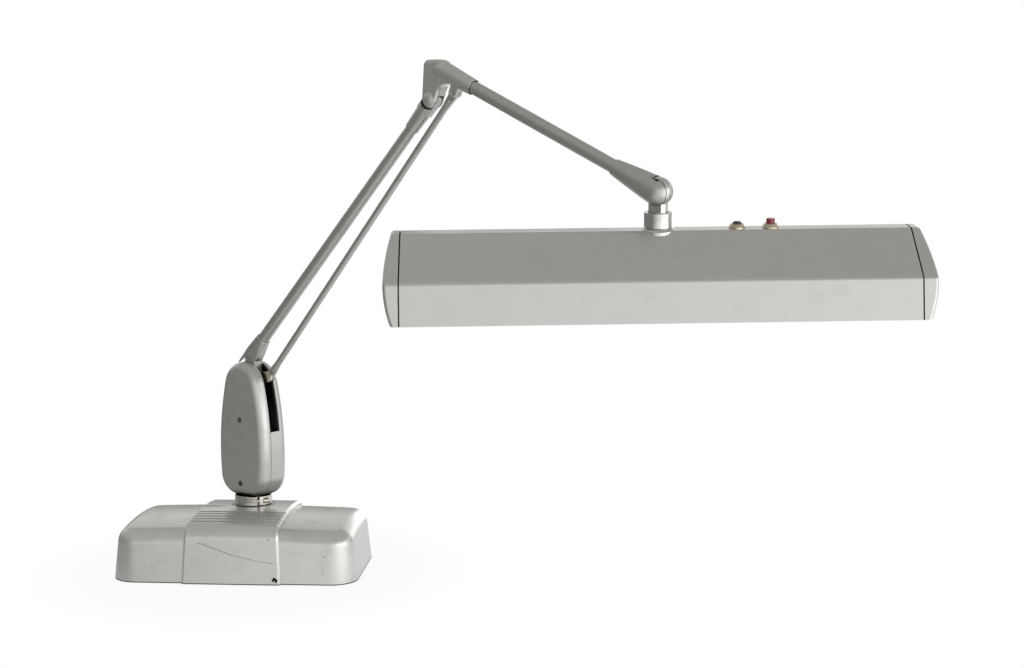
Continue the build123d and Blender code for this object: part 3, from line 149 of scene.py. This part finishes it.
floor_radius = 0.95
floor_middle = (0.3, -0.1, -0.0004)
floor_form = bmesh.new()
bmesh.ops.create_circle(floor_form, cap_ends=True, segments=128, radius=floor_radius,
                        matrix=Matrix.Translation(floor_middle))
floor_mesh = bpy.data.meshes.new("floor")
floor_form.to_mesh(floor_mesh)
floor_form.free()
floor = bpy.data.objects.new("floor", floor_mesh)
scene.collection.objects.link(floor)
floor_white = bpy.data.materials.new("floor_white")
floor_white.use_nodes = True
ground = floor_white.node_tree
ground.nodes.clear()
matt = put(ground, "ShaderNodeBsdfDiffuse", {"Color": (0.9, 0.9, 0.9, 1.0)})
path = put(ground, "ShaderNodeLightPath")
floor_place = put(ground, "ShaderNodeTexCoord").outputs["Object"]
floor_across = put(ground, "ShaderNodeSeparateXYZ", {0: floor_place}).outputs[0]
floor_sheen = fade(ground, floor_across, -0.4, 0.3, 0.25, 0.9)
floor_glow = reckon(ground, "MAXIMUM", path.outputs["Is Camera Ray"], floor_sheen)
glow = put(ground, "ShaderNodeEmission", {"Color": (1.0, 1.0, 1.0, 1.0), "Strength": floor_glow})
from_lamp = put(ground, "ShaderNodeVectorMath", {0: floor_place, 1: (0.0, -0.03, 0.0)}, operation="DISTANCE")
clean_white = fade(ground, from_lamp.outputs["Value"], 0.14, 0.3, 0.9, 1.0)
straight = reckon(ground, "MULTIPLY", path.outputs["Is Camera Ray"], clean_white)
mirrored = reckon(ground, "MULTIPLY", path.outputs["Is Glossy Ray"], 0.9)
whiteness = reckon(ground, "MAXIMUM", straight, mirrored)
shown = put(ground, "ShaderNodeMixShader", {0: whiteness, 1: matt.outputs[0], 2: glow.outputs[0]})
put(ground, "ShaderNodeOutputMaterial", {"Surface": shown.outputs[0]})
floor_mesh.materials.append(floor_white)


# Base shell. One pressed steel shell with a raised centre band and five grooves, sprayed with
# silver-grey metallic enamel. The enamel is rubbed on its edges, chipped at the foot and scored once.
def start_material(name):
    """A new material, its node tree and its Principled shader."""
    material = bpy.data.materials.new(name)
    material.use_nodes = True
    tree = material.node_tree
    return material, tree, tree.nodes["Principled BSDF"]


def blend_colours(tree, share, first, second, mode="MIX"):
    """A colour Mix node's result."""
    node = put(tree, "ShaderNodeMix", data_type="RGBA", blend_type=mode)
    for index, value in ((0, share), (6, first), (7, second)):
        if isinstance(value, bpy.types.NodeSocket):
            tree.links.new(value, node.inputs[index])
        else:
            node.inputs[index].default_value = value
    return node.outputs[2]


def grey(tree, value):
    """A value as a colour."""
    return put(tree, "ShaderNodeCombineColor", {0: value, 1: value, 2: value}).outputs[0]


def noise(tree, place, scale, detail=2.0, roughness=0.5, distortion=0.0):
    """A Noise Texture's value, with its scale in features per metre."""
    inputs = {"Vector": place, "Scale": scale, "Detail": detail, "Roughness": roughness,
              "Distortion": distortion}
    return put(tree, "ShaderNodeTexNoise", inputs).outputs[0]


def reckon_ways(tree, operation, first, second=(0.0, 0.0, 0.0), output="Vector"):
    """A Vector Math node's result."""
    return put(tree, "ShaderNodeVectorMath", {0: first, 1: second}, operation=operation).outputs[output]


def start_group(name, inputs, outputs):
    """A shader node group with the named sockets; returns it and its two end nodes."""
    group = bpy.data.node_groups.new(name, "ShaderNodeTree")
    for direction, sockets in (("INPUT", inputs), ("OUTPUT", outputs)):
        for label, kind in sockets:
            group.interface.new_socket(label, in_out=direction, socket_type="NodeSocket" + kind)
    return group, group.nodes.new("NodeGroupInput").outputs, group.nodes.new("NodeGroupOutput").inputs


def place_group(tree, group, inputs):
    """A node group placed in a material, with its own values."""
    node = put(tree, "ShaderNodeGroup", node_tree=group)
    for label, value in inputs.items():
        if isinstance(value, bpy.types.NodeSocket):
            tree.links.new(value, node.inputs[label])
        else:
            node.inputs[label].default_value = value
    return node.outputs


rubbed_edges, rub_in, rub_out = start_group(
    "rubbed_edges", [("Width", "Float"), ("Break scale", "Float")], [("Mask", "Float")])
rub_place = put(rubbed_edges, "ShaderNodeTexCoord").outputs["Object"]
rounded = put(rubbed_edges, "ShaderNodeBevel", {"Radius": rub_in["Width"]}, samples=6)
facing = put(rubbed_edges, "ShaderNodeNewGeometry").outputs["Normal"]
bend = reckon_ways(rubbed_edges, "DOT_PRODUCT", rounded.outputs[0], facing, "Value")
on_edge = fade(rubbed_edges, bend, 0.99, 0.86)
broken = fade(rubbed_edges, noise(rubbed_edges, rub_place, rub_in["Break scale"], 4.0, 0.6), 0.40, 0.60)
rubbed_edges.links.new(reckon(rubbed_edges, "MULTIPLY", on_edge, broken), rub_out["Mask"])

# Painted shade: an ambient-occlusion mask that darkens creases, recesses and the insides of slots towards
# near black, where shade falls.
recess_shade, recess_shade_in, recess_shade_out = start_group("recess_shade", [("Reach", "Float")], [("Mask", "Float")])
open_sky = put(recess_shade, "ShaderNodeAmbientOcclusion", {"Distance": recess_shade_in["Reach"]}, samples=8)
recess_shade.links.new(fade(recess_shade, open_sky.outputs["AO"], 0.6, 0.2), recess_shade_out["Mask"])

score_line, score_in, score_out = start_group(
    "score_line", [("Place", "Vector"), ("From", "Vector"), ("To", "Vector"), ("Width", "Float")],
    [("Mask", "Float")])
run = reckon_ways(score_line, "SUBTRACT", score_in["To"], score_in["From"])
seen_from = reckon_ways(score_line, "SUBTRACT", score_in["Place"], score_in["From"])
share_along = put(score_line, "ShaderNodeMath", {
    0: reckon_ways(score_line, "DOT_PRODUCT", seen_from, run, "Value"),
    1: reckon_ways(score_line, "DOT_PRODUCT", run, run, "Value")},
    operation="DIVIDE", use_clamp=True).outputs[0]
foot_point = put(score_line, "ShaderNodeVectorMath", {0: run, "Scale": share_along},
                 operation="SCALE").outputs[0]
off_line = reckon_ways(score_line, "DISTANCE", seen_from, foot_point, "Value")
shake = reckon(score_line, "MULTIPLY", noise(score_line, score_in["Place"], 700.0, 2.0), score_in["Width"])
score_line.links.new(fade(score_line, reckon(score_line, "SUBTRACT", off_line, shake), 0.0, -0.00012),
                     score_out["Mask"])

paint_chip, chip_in, chip_out = start_group(
    "paint_chip", [("Place", "Vector"), ("Middle", "Vector"), ("Reach", "Float")], [("Mask", "Float")])
off_middle = reckon_ways(paint_chip, "DISTANCE", chip_in["Place"], chip_in["Middle"], "Value")
ragged = fade(paint_chip, noise(paint_chip, chip_in["Place"], 330.0, 2.0, 0.5), 0.3, 0.7, 0.55, 1.35)
chip_paint_edge = reckon(paint_chip, "MULTIPLY", ragged, chip_in["Reach"])
paint_chip.links.new(reckon(paint_chip, "LESS_THAN", off_middle, chip_paint_edge), chip_out["Mask"])

silver_age, age_in, age_out = start_group(
    "silver_age",
    [("Paint", "Color"), ("Soil", "Color"), ("Cloud share", "Float"), ("Soil share", "Float"),
     ("Pit share", "Float"), ("Rub", "Float"), ("Recess shade", "Float"), ("Damage", "Float")],
    [("Colour", "Color"), ("Roughness", "Float"), ("Metal", "Float"), ("Height", "Float")])
age_place = put(silver_age, "ShaderNodeTexCoord").outputs["Object"]
cloud = reckon(silver_age, "SUBTRACT", noise(silver_age, age_place, 15.0, 4.0, 0.55), 0.5)
flake = noise(silver_age, age_place, 2600.0, 1.0)
cloud_tone = reckon(silver_age, "ADD", reckon(silver_age, "MULTIPLY", cloud, age_in["Cloud share"]), 1.0)
tone = reckon(silver_age, "MULTIPLY", cloud_tone, fade(silver_age, flake, 0.3, 0.7, 0.985, 1.015))
toned = blend_colours(silver_age, 1.0, age_in["Paint"], grey(silver_age, tone), "MULTIPLY")
soiled = fade(silver_age, noise(silver_age, age_place, 42.0, 7.0, 0.7), 0.5, 0.78)
soil_mask = reckon(silver_age, "MULTIPLY", soiled, age_in["Soil share"])
dusty = blend_colours(silver_age, soil_mask, toned, age_in["Soil"])
hair = reckon(silver_age, "ABSOLUTE",
              reckon(silver_age, "SUBTRACT", noise(silver_age, age_place, 9.0, 1.0, 0.5, 1.2), 0.5))
hair_break = fade(silver_age, noise(silver_age, age_place, 21.0, 2.0), 0.58, 0.66)
hairline = reckon(silver_age, "MULTIPLY", fade(silver_age, hair, 0.002, 0.0006), hair_break)
scored = blend_colours(silver_age, reckon(silver_age, "MULTIPLY", hairline, 0.35), dusty, age_in["Soil"])
dots = put(silver_age, "ShaderNodeTexVoronoi", {"Vector": age_place, "Scale": 150.0})
dot_size = put(silver_age, "ShaderNodeSeparateColor", {0: dots.outputs["Color"]}).outputs
dot_reach = fade(silver_age, dot_size[0], 0.965, 1.0, 0.0, 0.13)
dot_mask = reckon(silver_age, "LESS_THAN", dots.outputs["Distance"], dot_reach)
pit = reckon(silver_age, "MULTIPLY", dot_mask, age_in["Pit share"])
pitted = blend_colours(silver_age, pit, scored, (0.06, 0.052, 0.045, 1.0))
worn = blend_colours(silver_age, age_in["Rub"], pitted, (0.82, 0.81, 0.78, 1.0))
# Painted shade: recesses are darkened towards near black.
recess_shaded = blend_colours(silver_age, age_in["Recess shade"], worn, (0.006, 0.0055, 0.005, 1.0))
chipped = blend_colours(silver_age, age_in["Damage"], recess_shaded, (0.035, 0.03, 0.027, 1.0))
silver_age.links.new(chipped, age_out["Colour"])
dull = fade(silver_age, cloud, -0.2, 0.2, 0.25, 0.32)
dull = reckon(silver_age, "ADD", dull, reckon(silver_age, "MULTIPLY", soil_mask, 0.15))
dead = reckon(silver_age, "MAXIMUM", age_in["Recess shade"], age_in["Damage"])
silver_age.links.new(reckon(silver_age, "ADD", dull, reckon(silver_age, "MULTIPLY", dead, 0.4)),
                     age_out["Roughness"])
silver_age.links.new(fade(silver_age, reckon(silver_age, "MAXIMUM", dead, pit), 0.0, 1.0, 0.8, 1.0),
                     age_out["Metal"])
lift = reckon(silver_age, "SUBTRACT", reckon(silver_age, "MULTIPLY", flake, 0.03), pit)
lift = reckon(silver_age, "SUBTRACT", lift, age_in["Damage"])
silver_age.links.new(reckon(silver_age, "SUBTRACT", lift, hairline), age_out["Height"])


def join_masks(tree, masks):
    """The strongest of several masks."""
    together = masks[0]
    for mask in masks[1:]:
        together = reckon(tree, "MAXIMUM", together, mask)
    return together


def silver_paint(name, paint, cloud=0.12, soil=0.2, pits=1.0, edge=0.0008, recess_shade_reach=0.004, scores=(), chips=(),
                 seams=()):
    """Aged silver enamel. A score is (from, to, width), a chip (middle, reach).

    A seam is a dark line on a plane: (normal, distance, width); it marks a dark joint, and at the base's foot
    a painted shadow.
    """
    material, tree, shader = start_material(name)
    place = put(tree, "ShaderNodeTexCoord").outputs["Object"]
    rub = place_group(tree, rubbed_edges, {"Width": edge, "Break scale": 160.0})
    # The recess mask paints shade into creases and slots.
    painted_recess = place_group(tree, recess_shade, {"Reach": recess_shade_reach})
    inputs = {"Paint": paint, "Soil": (0.16, 0.15, 0.13, 1.0), "Cloud share": cloud, "Soil share": soil,
              "Pit share": pits, "Rub": rub["Mask"], "Recess shade": painted_recess["Mask"], "Damage": 0.0}
    marks = []
    for first, last, width in scores:
        line = {"Place": place, "From": first, "To": last, "Width": width}
        marks.append(place_group(tree, score_line, line)["Mask"])
    marks += [place_group(tree, paint_chip, {"Place": place, "Middle": middle, "Reach": reach})["Mask"]
              for middle, reach in chips]
    for normal, distance, width in seams:
        along_normal = reckon_ways(tree, "DOT_PRODUCT", place, normal, "Value")
        across_seam = reckon(tree, "SUBTRACT", along_normal, distance)
        marks.append(fade(tree, reckon(tree, "ABSOLUTE", across_seam), width / 2, width / 3))
    if marks:
        inputs["Damage"] = join_masks(tree, marks)
    skin = place_group(tree, silver_age, inputs)
    tree.links.new(skin["Colour"], shader.inputs["Base Color"])
    tree.links.new(skin["Roughness"], shader.inputs["Roughness"])
    tree.links.new(skin["Metal"], shader.inputs["Metallic"])
    grain = put(tree, "ShaderNodeBump", {"Height": skin["Height"], "Strength": 0.2, "Distance": 0.0001})
    tree.links.new(grain.outputs[0], shader.inputs["Normal"])
    return material


def finish_nodes(material, *names):
    """Gives these CAD nodes this material alone."""
    for name in names:
        slots = nodes[name].data.materials
        slots.clear()
        slots.append(material)


silver = (0.56, 0.56, 0.545, 1.0)
base_silver = (0.69, 0.69, 0.675, 1.0)
long_score = [(-0.0447, -0.1082, 0.0501), (-0.0289, -0.1088, 0.0451), (-0.0026, -0.1098, 0.0356),
              (0.0237, -0.1103, 0.0300), (0.0531, -0.1108, 0.0256)]
score_widths = [0.0007, 0.0007, 0.0006, 0.0005]
base_scores = list(zip(long_score, long_score[1:], score_widths))
base_scores.append(((-0.0375, -0.1117, 0.0170), (-0.0329, -0.1128, 0.0067), 0.0003))
base_chips = [((0.0482, -0.1128, 0.0076), 0.0022), ((0.0460, -0.1128, 0.0064), 0.0015),
              ((0.0502, -0.1129, 0.0058), 0.0019), ((0.0557, -0.1080, 0.0525), 0.0010),
              ((0.0557, -0.1087, 0.0453), 0.0010), ((-0.0646, -0.1124, 0.0103), 0.0012)]
# Painted shadow: a dark band along the foot of the shell, where it meets the desk.
painted_foot_shadow = ((0.0, 0.0, 1.0), 0.0, 0.005)
base_paint = silver_paint("base_paint", base_silver, scores=base_scores, chips=base_chips, seams=[painted_foot_shadow])
finish_nodes(base_paint, "base_shell")


# Inside the base. A steel bottom plate held by four screws carries a cast-iron weight and the choke
# that feeds the tubes; a black moulded bushing lines the cord's hole at the back.
stained_metal, stain_in, stain_out = start_group(
    "stained_metal",
    [("Metal", "Color"), ("Stain", "Color"), ("Stain scale", "Float"), ("Smooth", "Float"),
     ("Rough", "Float")],
    [("Colour", "Color"), ("Roughness", "Float"), ("Height", "Float")])
stain_place = put(stained_metal, "ShaderNodeTexCoord").outputs["Object"]
stain = fade(stained_metal, noise(stained_metal, stain_place, stain_in["Stain scale"], 6.0, 0.68), 0.42, 0.74)
fine = noise(stained_metal, stain_place, 1800.0, 2.0, 0.6)
stained_metal.links.new(blend_colours(stained_metal, stain, stain_in["Metal"], stain_in["Stain"]),
                        stain_out["Colour"])
stain_dull = put(stained_metal, "ShaderNodeMix", {0: stain, 2: stain_in["Smooth"], 3: stain_in["Rough"]},
                 data_type="FLOAT").outputs[0]
stained_metal.links.new(stain_dull, stain_out["Roughness"])
stained_metal.links.new(reckon(stained_metal, "ADD", reckon(stained_metal, "MULTIPLY", fine, 0.4), stain),
                        stain_out["Height"])


def bare_metal(name, metal, stain, scale=120.0, smooth=0.2, rough=0.45, shine=1.0, relief=0.00005):
    """Plated or bare metal: its colour, the colour of its stains, their scale and the two roughnesses."""
    material, tree, shader = start_material(name)
    skin = place_group(tree, stained_metal, {"Metal": metal, "Stain": stain, "Stain scale": scale,
                                             "Smooth": smooth, "Rough": rough})
    tree.links.new(skin["Colour"], shader.inputs["Base Color"])
    tree.links.new(skin["Roughness"], shader.inputs["Roughness"])
    shader.inputs["Metallic"].default_value = shine
    grain = put(tree, "ShaderNodeBump", {"Height": skin["Height"], "Strength": 0.25, "Distance": relief})
    tree.links.new(grain.outputs[0], shader.inputs["Normal"])
    return material


zinc_steel = bare_metal("zinc_steel", (0.56, 0.57, 0.56, 1.0), (0.30, 0.29, 0.27, 1.0), 160.0, 0.3, 0.5)
finish_nodes(zinc_steel, "base_plate", "plate_screws")
cast_iron = bare_metal("cast_iron", (0.10, 0.10, 0.105, 1.0), (0.16, 0.09, 0.05, 1.0), 220.0, 0.6, 0.85,
                       shine=0.6, relief=0.0004)
finish_nodes(cast_iron, "base_weight", "ballast_choke")


def moulding(name, colour, worn, scale=160.0, smooth=0.2, rough=0.4, coat=0.0):
    """A moulded or enamelled piece: its colour, the colour it fades or soils to, and the two roughnesses."""
    material, tree, shader = start_material(name)
    skin = place_group(tree, stained_metal, {"Metal": colour, "Stain": worn, "Stain scale": scale,
                                             "Smooth": smooth, "Rough": rough})
    tree.links.new(skin["Colour"], shader.inputs["Base Color"])
    tree.links.new(skin["Roughness"], shader.inputs["Roughness"])
    shader.inputs["Coat Weight"].default_value = coat
    shader.inputs["Coat Roughness"].default_value = 0.08
    grain = put(tree, "ShaderNodeBump", {"Height": skin["Height"], "Strength": 0.15, "Distance": 0.00005})
    tree.links.new(grain.outputs[0], shader.inputs["Normal"])
    return material


black_fibre = moulding("black_fibre", (0.02, 0.02, 0.02, 1.0), (0.05, 0.047, 0.042, 1.0), 300.0, 0.45, 0.65)
finish_nodes(black_fibre, "cord_bushing")


# Felt sole. A sheet of dark felt glued under the bottom plate, so that the lamp doesn't mark a desk.
# It stands for the plain solid in the CAD model and keeps its size.
felt_low, felt_high = (Vector(corner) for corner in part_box("felt_pad"))
felt_size = felt_high - felt_low
felt_form = bmesh.new()
bmesh.ops.create_cube(felt_form, size=1.0)
bmesh.ops.scale(felt_form, vec=felt_size, verts=felt_form.verts)
bmesh.ops.translate(felt_form, vec=(felt_low + felt_high) / 2, verts=felt_form.verts)
upright = [edge for edge in felt_form.edges if abs(edge.verts[0].co.z - edge.verts[1].co.z) > felt_size.z / 2]
bmesh.ops.bevel(felt_form, geom=upright, offset=0.023, offset_type="OFFSET", affect="EDGES", segments=14,
                profile=0.5, material=-1)
felt_rim = [edge for edge in felt_form.edges if abs(edge.verts[0].co.z - edge.verts[1].co.z) < 1e-6]
bmesh.ops.bevel(felt_form, geom=felt_rim, offset=0.0005, offset_type="OFFSET", affect="EDGES", segments=3,
                profile=0.5, material=-1)
bmesh.ops.recalc_face_normals(felt_form, faces=felt_form.faces)
felt_mesh = bpy.data.meshes.new("felt_sole")
felt_form.to_mesh(felt_mesh)
felt_form.free()
felt_sole = bpy.data.objects.new("felt_sole", felt_mesh)
scene.collection.objects.link(felt_sole)
felt, felt_tree, felt_shader = start_material("felt")
felt_place = put(felt_tree, "ShaderNodeTexCoord").outputs["Object"]
fibre = noise(felt_tree, felt_place, 900.0, 6.0, 0.75, 2.0)
felt_shade = noise(felt_tree, felt_place, 60.0, 4.0)
felt_tone = reckon(felt_tree, "ADD", fade(felt_tree, fibre, 0.3, 0.75, 0.5, 1.3),
                   fade(felt_tree, felt_shade, 0.3, 0.7, -0.15, 0.15))
felt_colour = (0.045, 0.055, 0.05, 1.0)
felt_toned = blend_colours(felt_tree, 1.0, felt_colour, grey(felt_tree, felt_tone), "MULTIPLY")
felt_tree.links.new(felt_toned, felt_shader.inputs["Base Color"])
felt_shader.inputs["Roughness"].default_value = 0.95
felt_shader.inputs["Sheen Weight"].default_value = 0.4
felt_nap = put(felt_tree, "ShaderNodeBump", {"Height": fibre, "Strength": 0.7, "Distance": 0.0004})
felt_tree.links.new(felt_nap.outputs[0], felt_shader.inputs["Normal"])
felt_mesh.materials.append(felt)
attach(felt_sole, "base")
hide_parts("felt_pad")


# Swivel. A hollow steel stem is nutted through the base and carries a nickelled split ring, clamped
# by one small screw, which turns on a thin steel washer.
steel = bare_metal("steel", (0.46, 0.46, 0.45, 1.0), (0.25, 0.23, 0.20, 1.0), 200.0, 0.3, 0.5)
finish_nodes(steel, "swivel_stem", "stem_nut", "swivel_retainer", "swivel_washer")
nickel = bare_metal("nickel", (0.72, 0.71, 0.67, 1.0), (0.42, 0.40, 0.35, 1.0), 140.0, 0.16, 0.34)
finish_nodes(nickel, "swivel_ring")
pale_brass = bare_metal("pale_brass", (0.86, 0.79, 0.66, 1.0), (0.55, 0.45, 0.32, 1.0), 300.0, 0.3, 0.5)
finish_nodes(pale_brass, "ring_screw")


# Pedestal. Two die-cast halves, a hollow housing and a cover with two sunk brass screws, in the same
# silver enamel; the slot for the arm and its lever is painted near black inside as painted shade.
swing_near = Vector((-0.5446, -0.8387, 0.0))
half_seam = (swing_near, 0.008, 0.0007)
# A wide recess reach paints the shade inside the slot.
pedestal_paint = silver_paint("pedestal_paint", silver, cloud=0.1, soil=0.22, recess_shade_reach=0.05, seams=[half_seam])
finish_nodes(pedestal_paint, "pedestal_housing", "pedestal_cover")
old_brass = bare_metal("old_brass", (0.34, 0.27, 0.17, 1.0), (0.10, 0.08, 0.055, 1.0), 420.0, 0.35, 0.6)
finish_nodes(old_brass, "cover_screws")
black_steel = bare_metal("black_steel", (0.06, 0.058, 0.055, 1.0), (0.03, 0.027, 0.024, 1.0), 200.0,
                         0.45, 0.7)
finish_nodes(black_steel, "arm_shaft", "shaft_spacers", "spring_anchor", "near_spring", "far_spring",
             "spring_pin")


# Lower arm. A steel tube pinned into a cast root at the pedestal and a cast ferrule at the elbow,
# all sprayed silver, shown in a darker copy of the silver as painted shade. The root flares over the
# pedestal.
casting_grain = 0.0005
shaded_arm_silver = (0.46, 0.46, 0.445, 1.0)
shaded_arm_paint = silver_paint("shaded_arm_paint", shaded_arm_silver, cloud=0.08, soil=0.3, pits=0.6, edge=0.0005, recess_shade_reach=0.004)
finish_nodes(shaded_arm_paint, "lower_arm_root", "lower_arm_tube", "lower_arm_ferrule")


def blended_casting(name, node, body, material, passes, gusset=()):
    """A copy of a casting with its inner corners blended as a mould leaves them; it stands for the CAD node.

    The gusset is a set of points whose hull is cast on.
    """
    rough_form = bmesh.new()
    for point in gusset:
        rough_form.verts.new(point)
    if gusset:
        hull = bmesh.ops.convex_hull(rough_form, input=rough_form.verts)
        bmesh.ops.delete(rough_form, geom=hull["geom_interior"], context="VERTS")
        bmesh.ops.recalc_face_normals(rough_form, faces=rough_form.faces)
    rough_form.from_mesh(nodes[node].data)
    rough_mesh = bpy.data.meshes.new(name + "_rough")
    rough_form.to_mesh(rough_mesh)
    rough_form.free()
    casting = bpy.data.objects.new(name, rough_mesh)
    scene.collection.objects.link(casting)
    merge = casting.modifiers.new("merge", "REMESH")
    merge.mode = "VOXEL"
    merge.voxel_size = casting_grain
    merge.use_smooth_shade = True
    soften = casting.modifiers.new("soften", "SMOOTH")
    soften.factor = 0.5
    soften.iterations = passes
    settled = casting.evaluated_get(bpy.context.evaluated_depsgraph_get())
    casting_mesh = bpy.data.meshes.new_from_object(settled)
    casting.modifiers.clear()
    casting.data = casting_mesh
    casting_mesh.materials.clear()
    casting_mesh.materials.append(material)
    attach(casting, body)
    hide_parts(node)


pivot = Vector((0.0, 0.0, 0.2304))
swing_out = Vector((0.8387, -0.5446, 0.0))
flare_start = 0.0315
flare_end = 0.066
foot_half_width = 0.0066
root_passes = 22
foot_angles = [(22.0, 0.0272), (29.0, 0.0284)]
flare = []
for vertex in nodes["lower_arm_root"].data.vertices:
    from_pivot = vertex.co - pivot
    off_axis = from_pivot - swing_near * swing_near.dot(from_pivot)
    if flare_start < off_axis.length < flare_end:
        flare.append(vertex.co.copy())
for lean, reach in foot_angles:
    ray_out = swing_out * sin(radians(lean)) + Vector((0.0, 0.0, cos(radians(lean))))
    flare += [pivot + ray_out * reach + swing_near * side for side in (-foot_half_width, foot_half_width)]
blended_casting("root_casting", "lower_arm_root", "lower_arm", shaded_arm_paint, root_passes, flare)


# Control rod and its lever. A thin silver rod keeps the head level; its foot is hooked to a brass
# lever inside the pedestal, whose end shows in the slot.
finish_nodes(shaded_arm_paint, "control_rod")
finish_nodes(pale_brass, "rod_lever", "lever_pin")


# Elbow and upper arm. One casting with cheeks round the ferrule, ears round the rod's eye and a
# sleeve into which the upper tube is pressed.
elbow_passes = 40
# A wider recess reach paints shade into the casting's hollows.
elbow_paint = silver_paint("elbow_paint", silver, cloud=0.08, soil=0.2, edge=0.0006, recess_shade_reach=0.014)
finish_nodes(elbow_paint, "elbow_casting", "elbow_pin", "rod_top_pin")
blended_casting("elbow_form", "elbow_casting", "upper_arm", elbow_paint, elbow_passes)
finish_nodes(shaded_arm_paint, "upper_arm_tube")


# Arm end and knuckle. A teardrop casting whose cheek meets the head's half ball on a lap joint; the
# ball is silver and its neck below is nickel plated.
end_silver = (0.47, 0.47, 0.455, 1.0)
end_paint = silver_paint("end_paint", end_silver, cloud=0.1, soil=0.25, edge=0.0005, recess_shade_reach=0.005)
finish_nodes(end_paint, "arm_end_socket")
finish_nodes(steel, "knuckle_pin", "post_nut")
ball_middle = (0.490169, -0.318319, 0.470741)
neck_metal = {"Base Color": (0.72, 0.71, 0.67, 1.0), "Roughness": 0.2, "Metallic": 1.0}
lap_seam = ((-0.584601, -0.803272, -0.113997), -0.07817, 0.0012)
knuckle_finish = silver_paint("knuckle_finish", silver, cloud=0.1, soil=0.2, edge=0.0005, recess_shade_reach=0.005,
                              seams=[lap_seam])
ball_tree = knuckle_finish.node_tree
ball_shader = ball_tree.nodes["Principled BSDF"]
ball_place = put(ball_tree, "ShaderNodeTexCoord").outputs["Object"]
off_ball = reckon_ways(ball_tree, "DISTANCE", ball_place, ball_middle, "Value")
on_neck = fade(ball_tree, off_ball, 0.0153, 0.0156)
for label, bare in neck_metal.items():
    painted = ball_shader.inputs[label].links[0].from_socket
    if label == "Base Color":
        both = blend_colours(ball_tree, on_neck, painted, bare)
    else:
        both = put(ball_tree, "ShaderNodeMix", {0: on_neck, 2: painted, 3: bare},
                   data_type="FLOAT").outputs[0]
    ball_tree.links.new(both, ball_shader.inputs[label])
finish_nodes(knuckle_finish, "knuckle_post")


# Collar and saddle washer. A turned aluminium collar round the neck, on a domed washer that spreads
# the head's weight over the roof.
turned = bare_metal("turned_aluminium", (0.72, 0.72, 0.71, 1.0), (0.56, 0.55, 0.53, 1.0), 90.0, 0.18, 0.3)
finish_nodes(turned, "swivel_collar", "saddle_washer")


# Shade and end caps. Folded sheet steel with two pressed caps slipped over its ends, silver outside,
# with dark seams where the caps meet the sheet.
shade_way = Vector((0.996843, 0.078453, 0.012217))
shade_reach = [shade_way.dot(vertex.co) for vertex in nodes["shade"].data.vertices]
cap_seam_width = 0.0016
cap_seams = [(shade_way, end, cap_seam_width) for end in (min(shade_reach), max(shade_reach))]
shade_paint = silver_paint("shade_paint", silver, cloud=0.06, soil=0.1, pits=0.7, recess_shade_reach=0.003,
                           seams=cap_seams)
finish_nodes(shade_paint, "shade", "end_cap_left", "end_cap_right")


# Under the shade. White enamelled reflector and wireway on plated brackets and end plates, with four
# white lampholders and two tubes with aluminium ends.
white_enamel = moulding("white_enamel", (0.84, 0.84, 0.81, 1.0), (0.70, 0.68, 0.62, 1.0), 60.0, 0.2, 0.35,
                        coat=0.3)
finish_nodes(white_enamel, "reflector", "wireway_cover")
finish_nodes(zinc_steel, "reflector_brackets", "end_plates")
holder_white = moulding("holder_white", (0.78, 0.77, 0.72, 1.0), (0.62, 0.58, 0.48, 1.0), 180.0, 0.35, 0.5)
finish_nodes(holder_white, "lampholders")
tube_glass = moulding("tube_glass", (0.88, 0.88, 0.86, 1.0), (0.82, 0.81, 0.78, 1.0), 40.0, 0.12, 0.2, 1.0)
finish_nodes(tube_glass, "lamp_tube_front", "lamp_tube_rear")
finish_nodes(turned, "lamp_ends")


# Switches. Two push switches under the roof, each with a stepped brass bezel: a low black dome stops
# the lamp, a taller dark red button starts it.
finish_nodes(black_fibre, "stop_switch", "start_switch")
bezel_brass = bare_metal("bezel_brass", (0.76, 0.67, 0.53, 1.0), (0.40, 0.31, 0.20, 1.0), 380.0, 0.28, 0.5)
finish_nodes(bezel_brass, "stop_bezel", "start_bezel")
black_dome = moulding("black_dome", (0.010, 0.010, 0.010, 1.0), (0.03, 0.028, 0.025, 1.0), 300.0, 0.15, 0.35,
                      coat=0.5)
finish_nodes(black_dome, "stop_button")
red_push = moulding("red_push", (0.20, 0.012, 0.018, 1.0), (0.10, 0.010, 0.012, 1.0), 300.0, 0.22, 0.4, 0.4)
finish_nodes(red_push, "start_button")
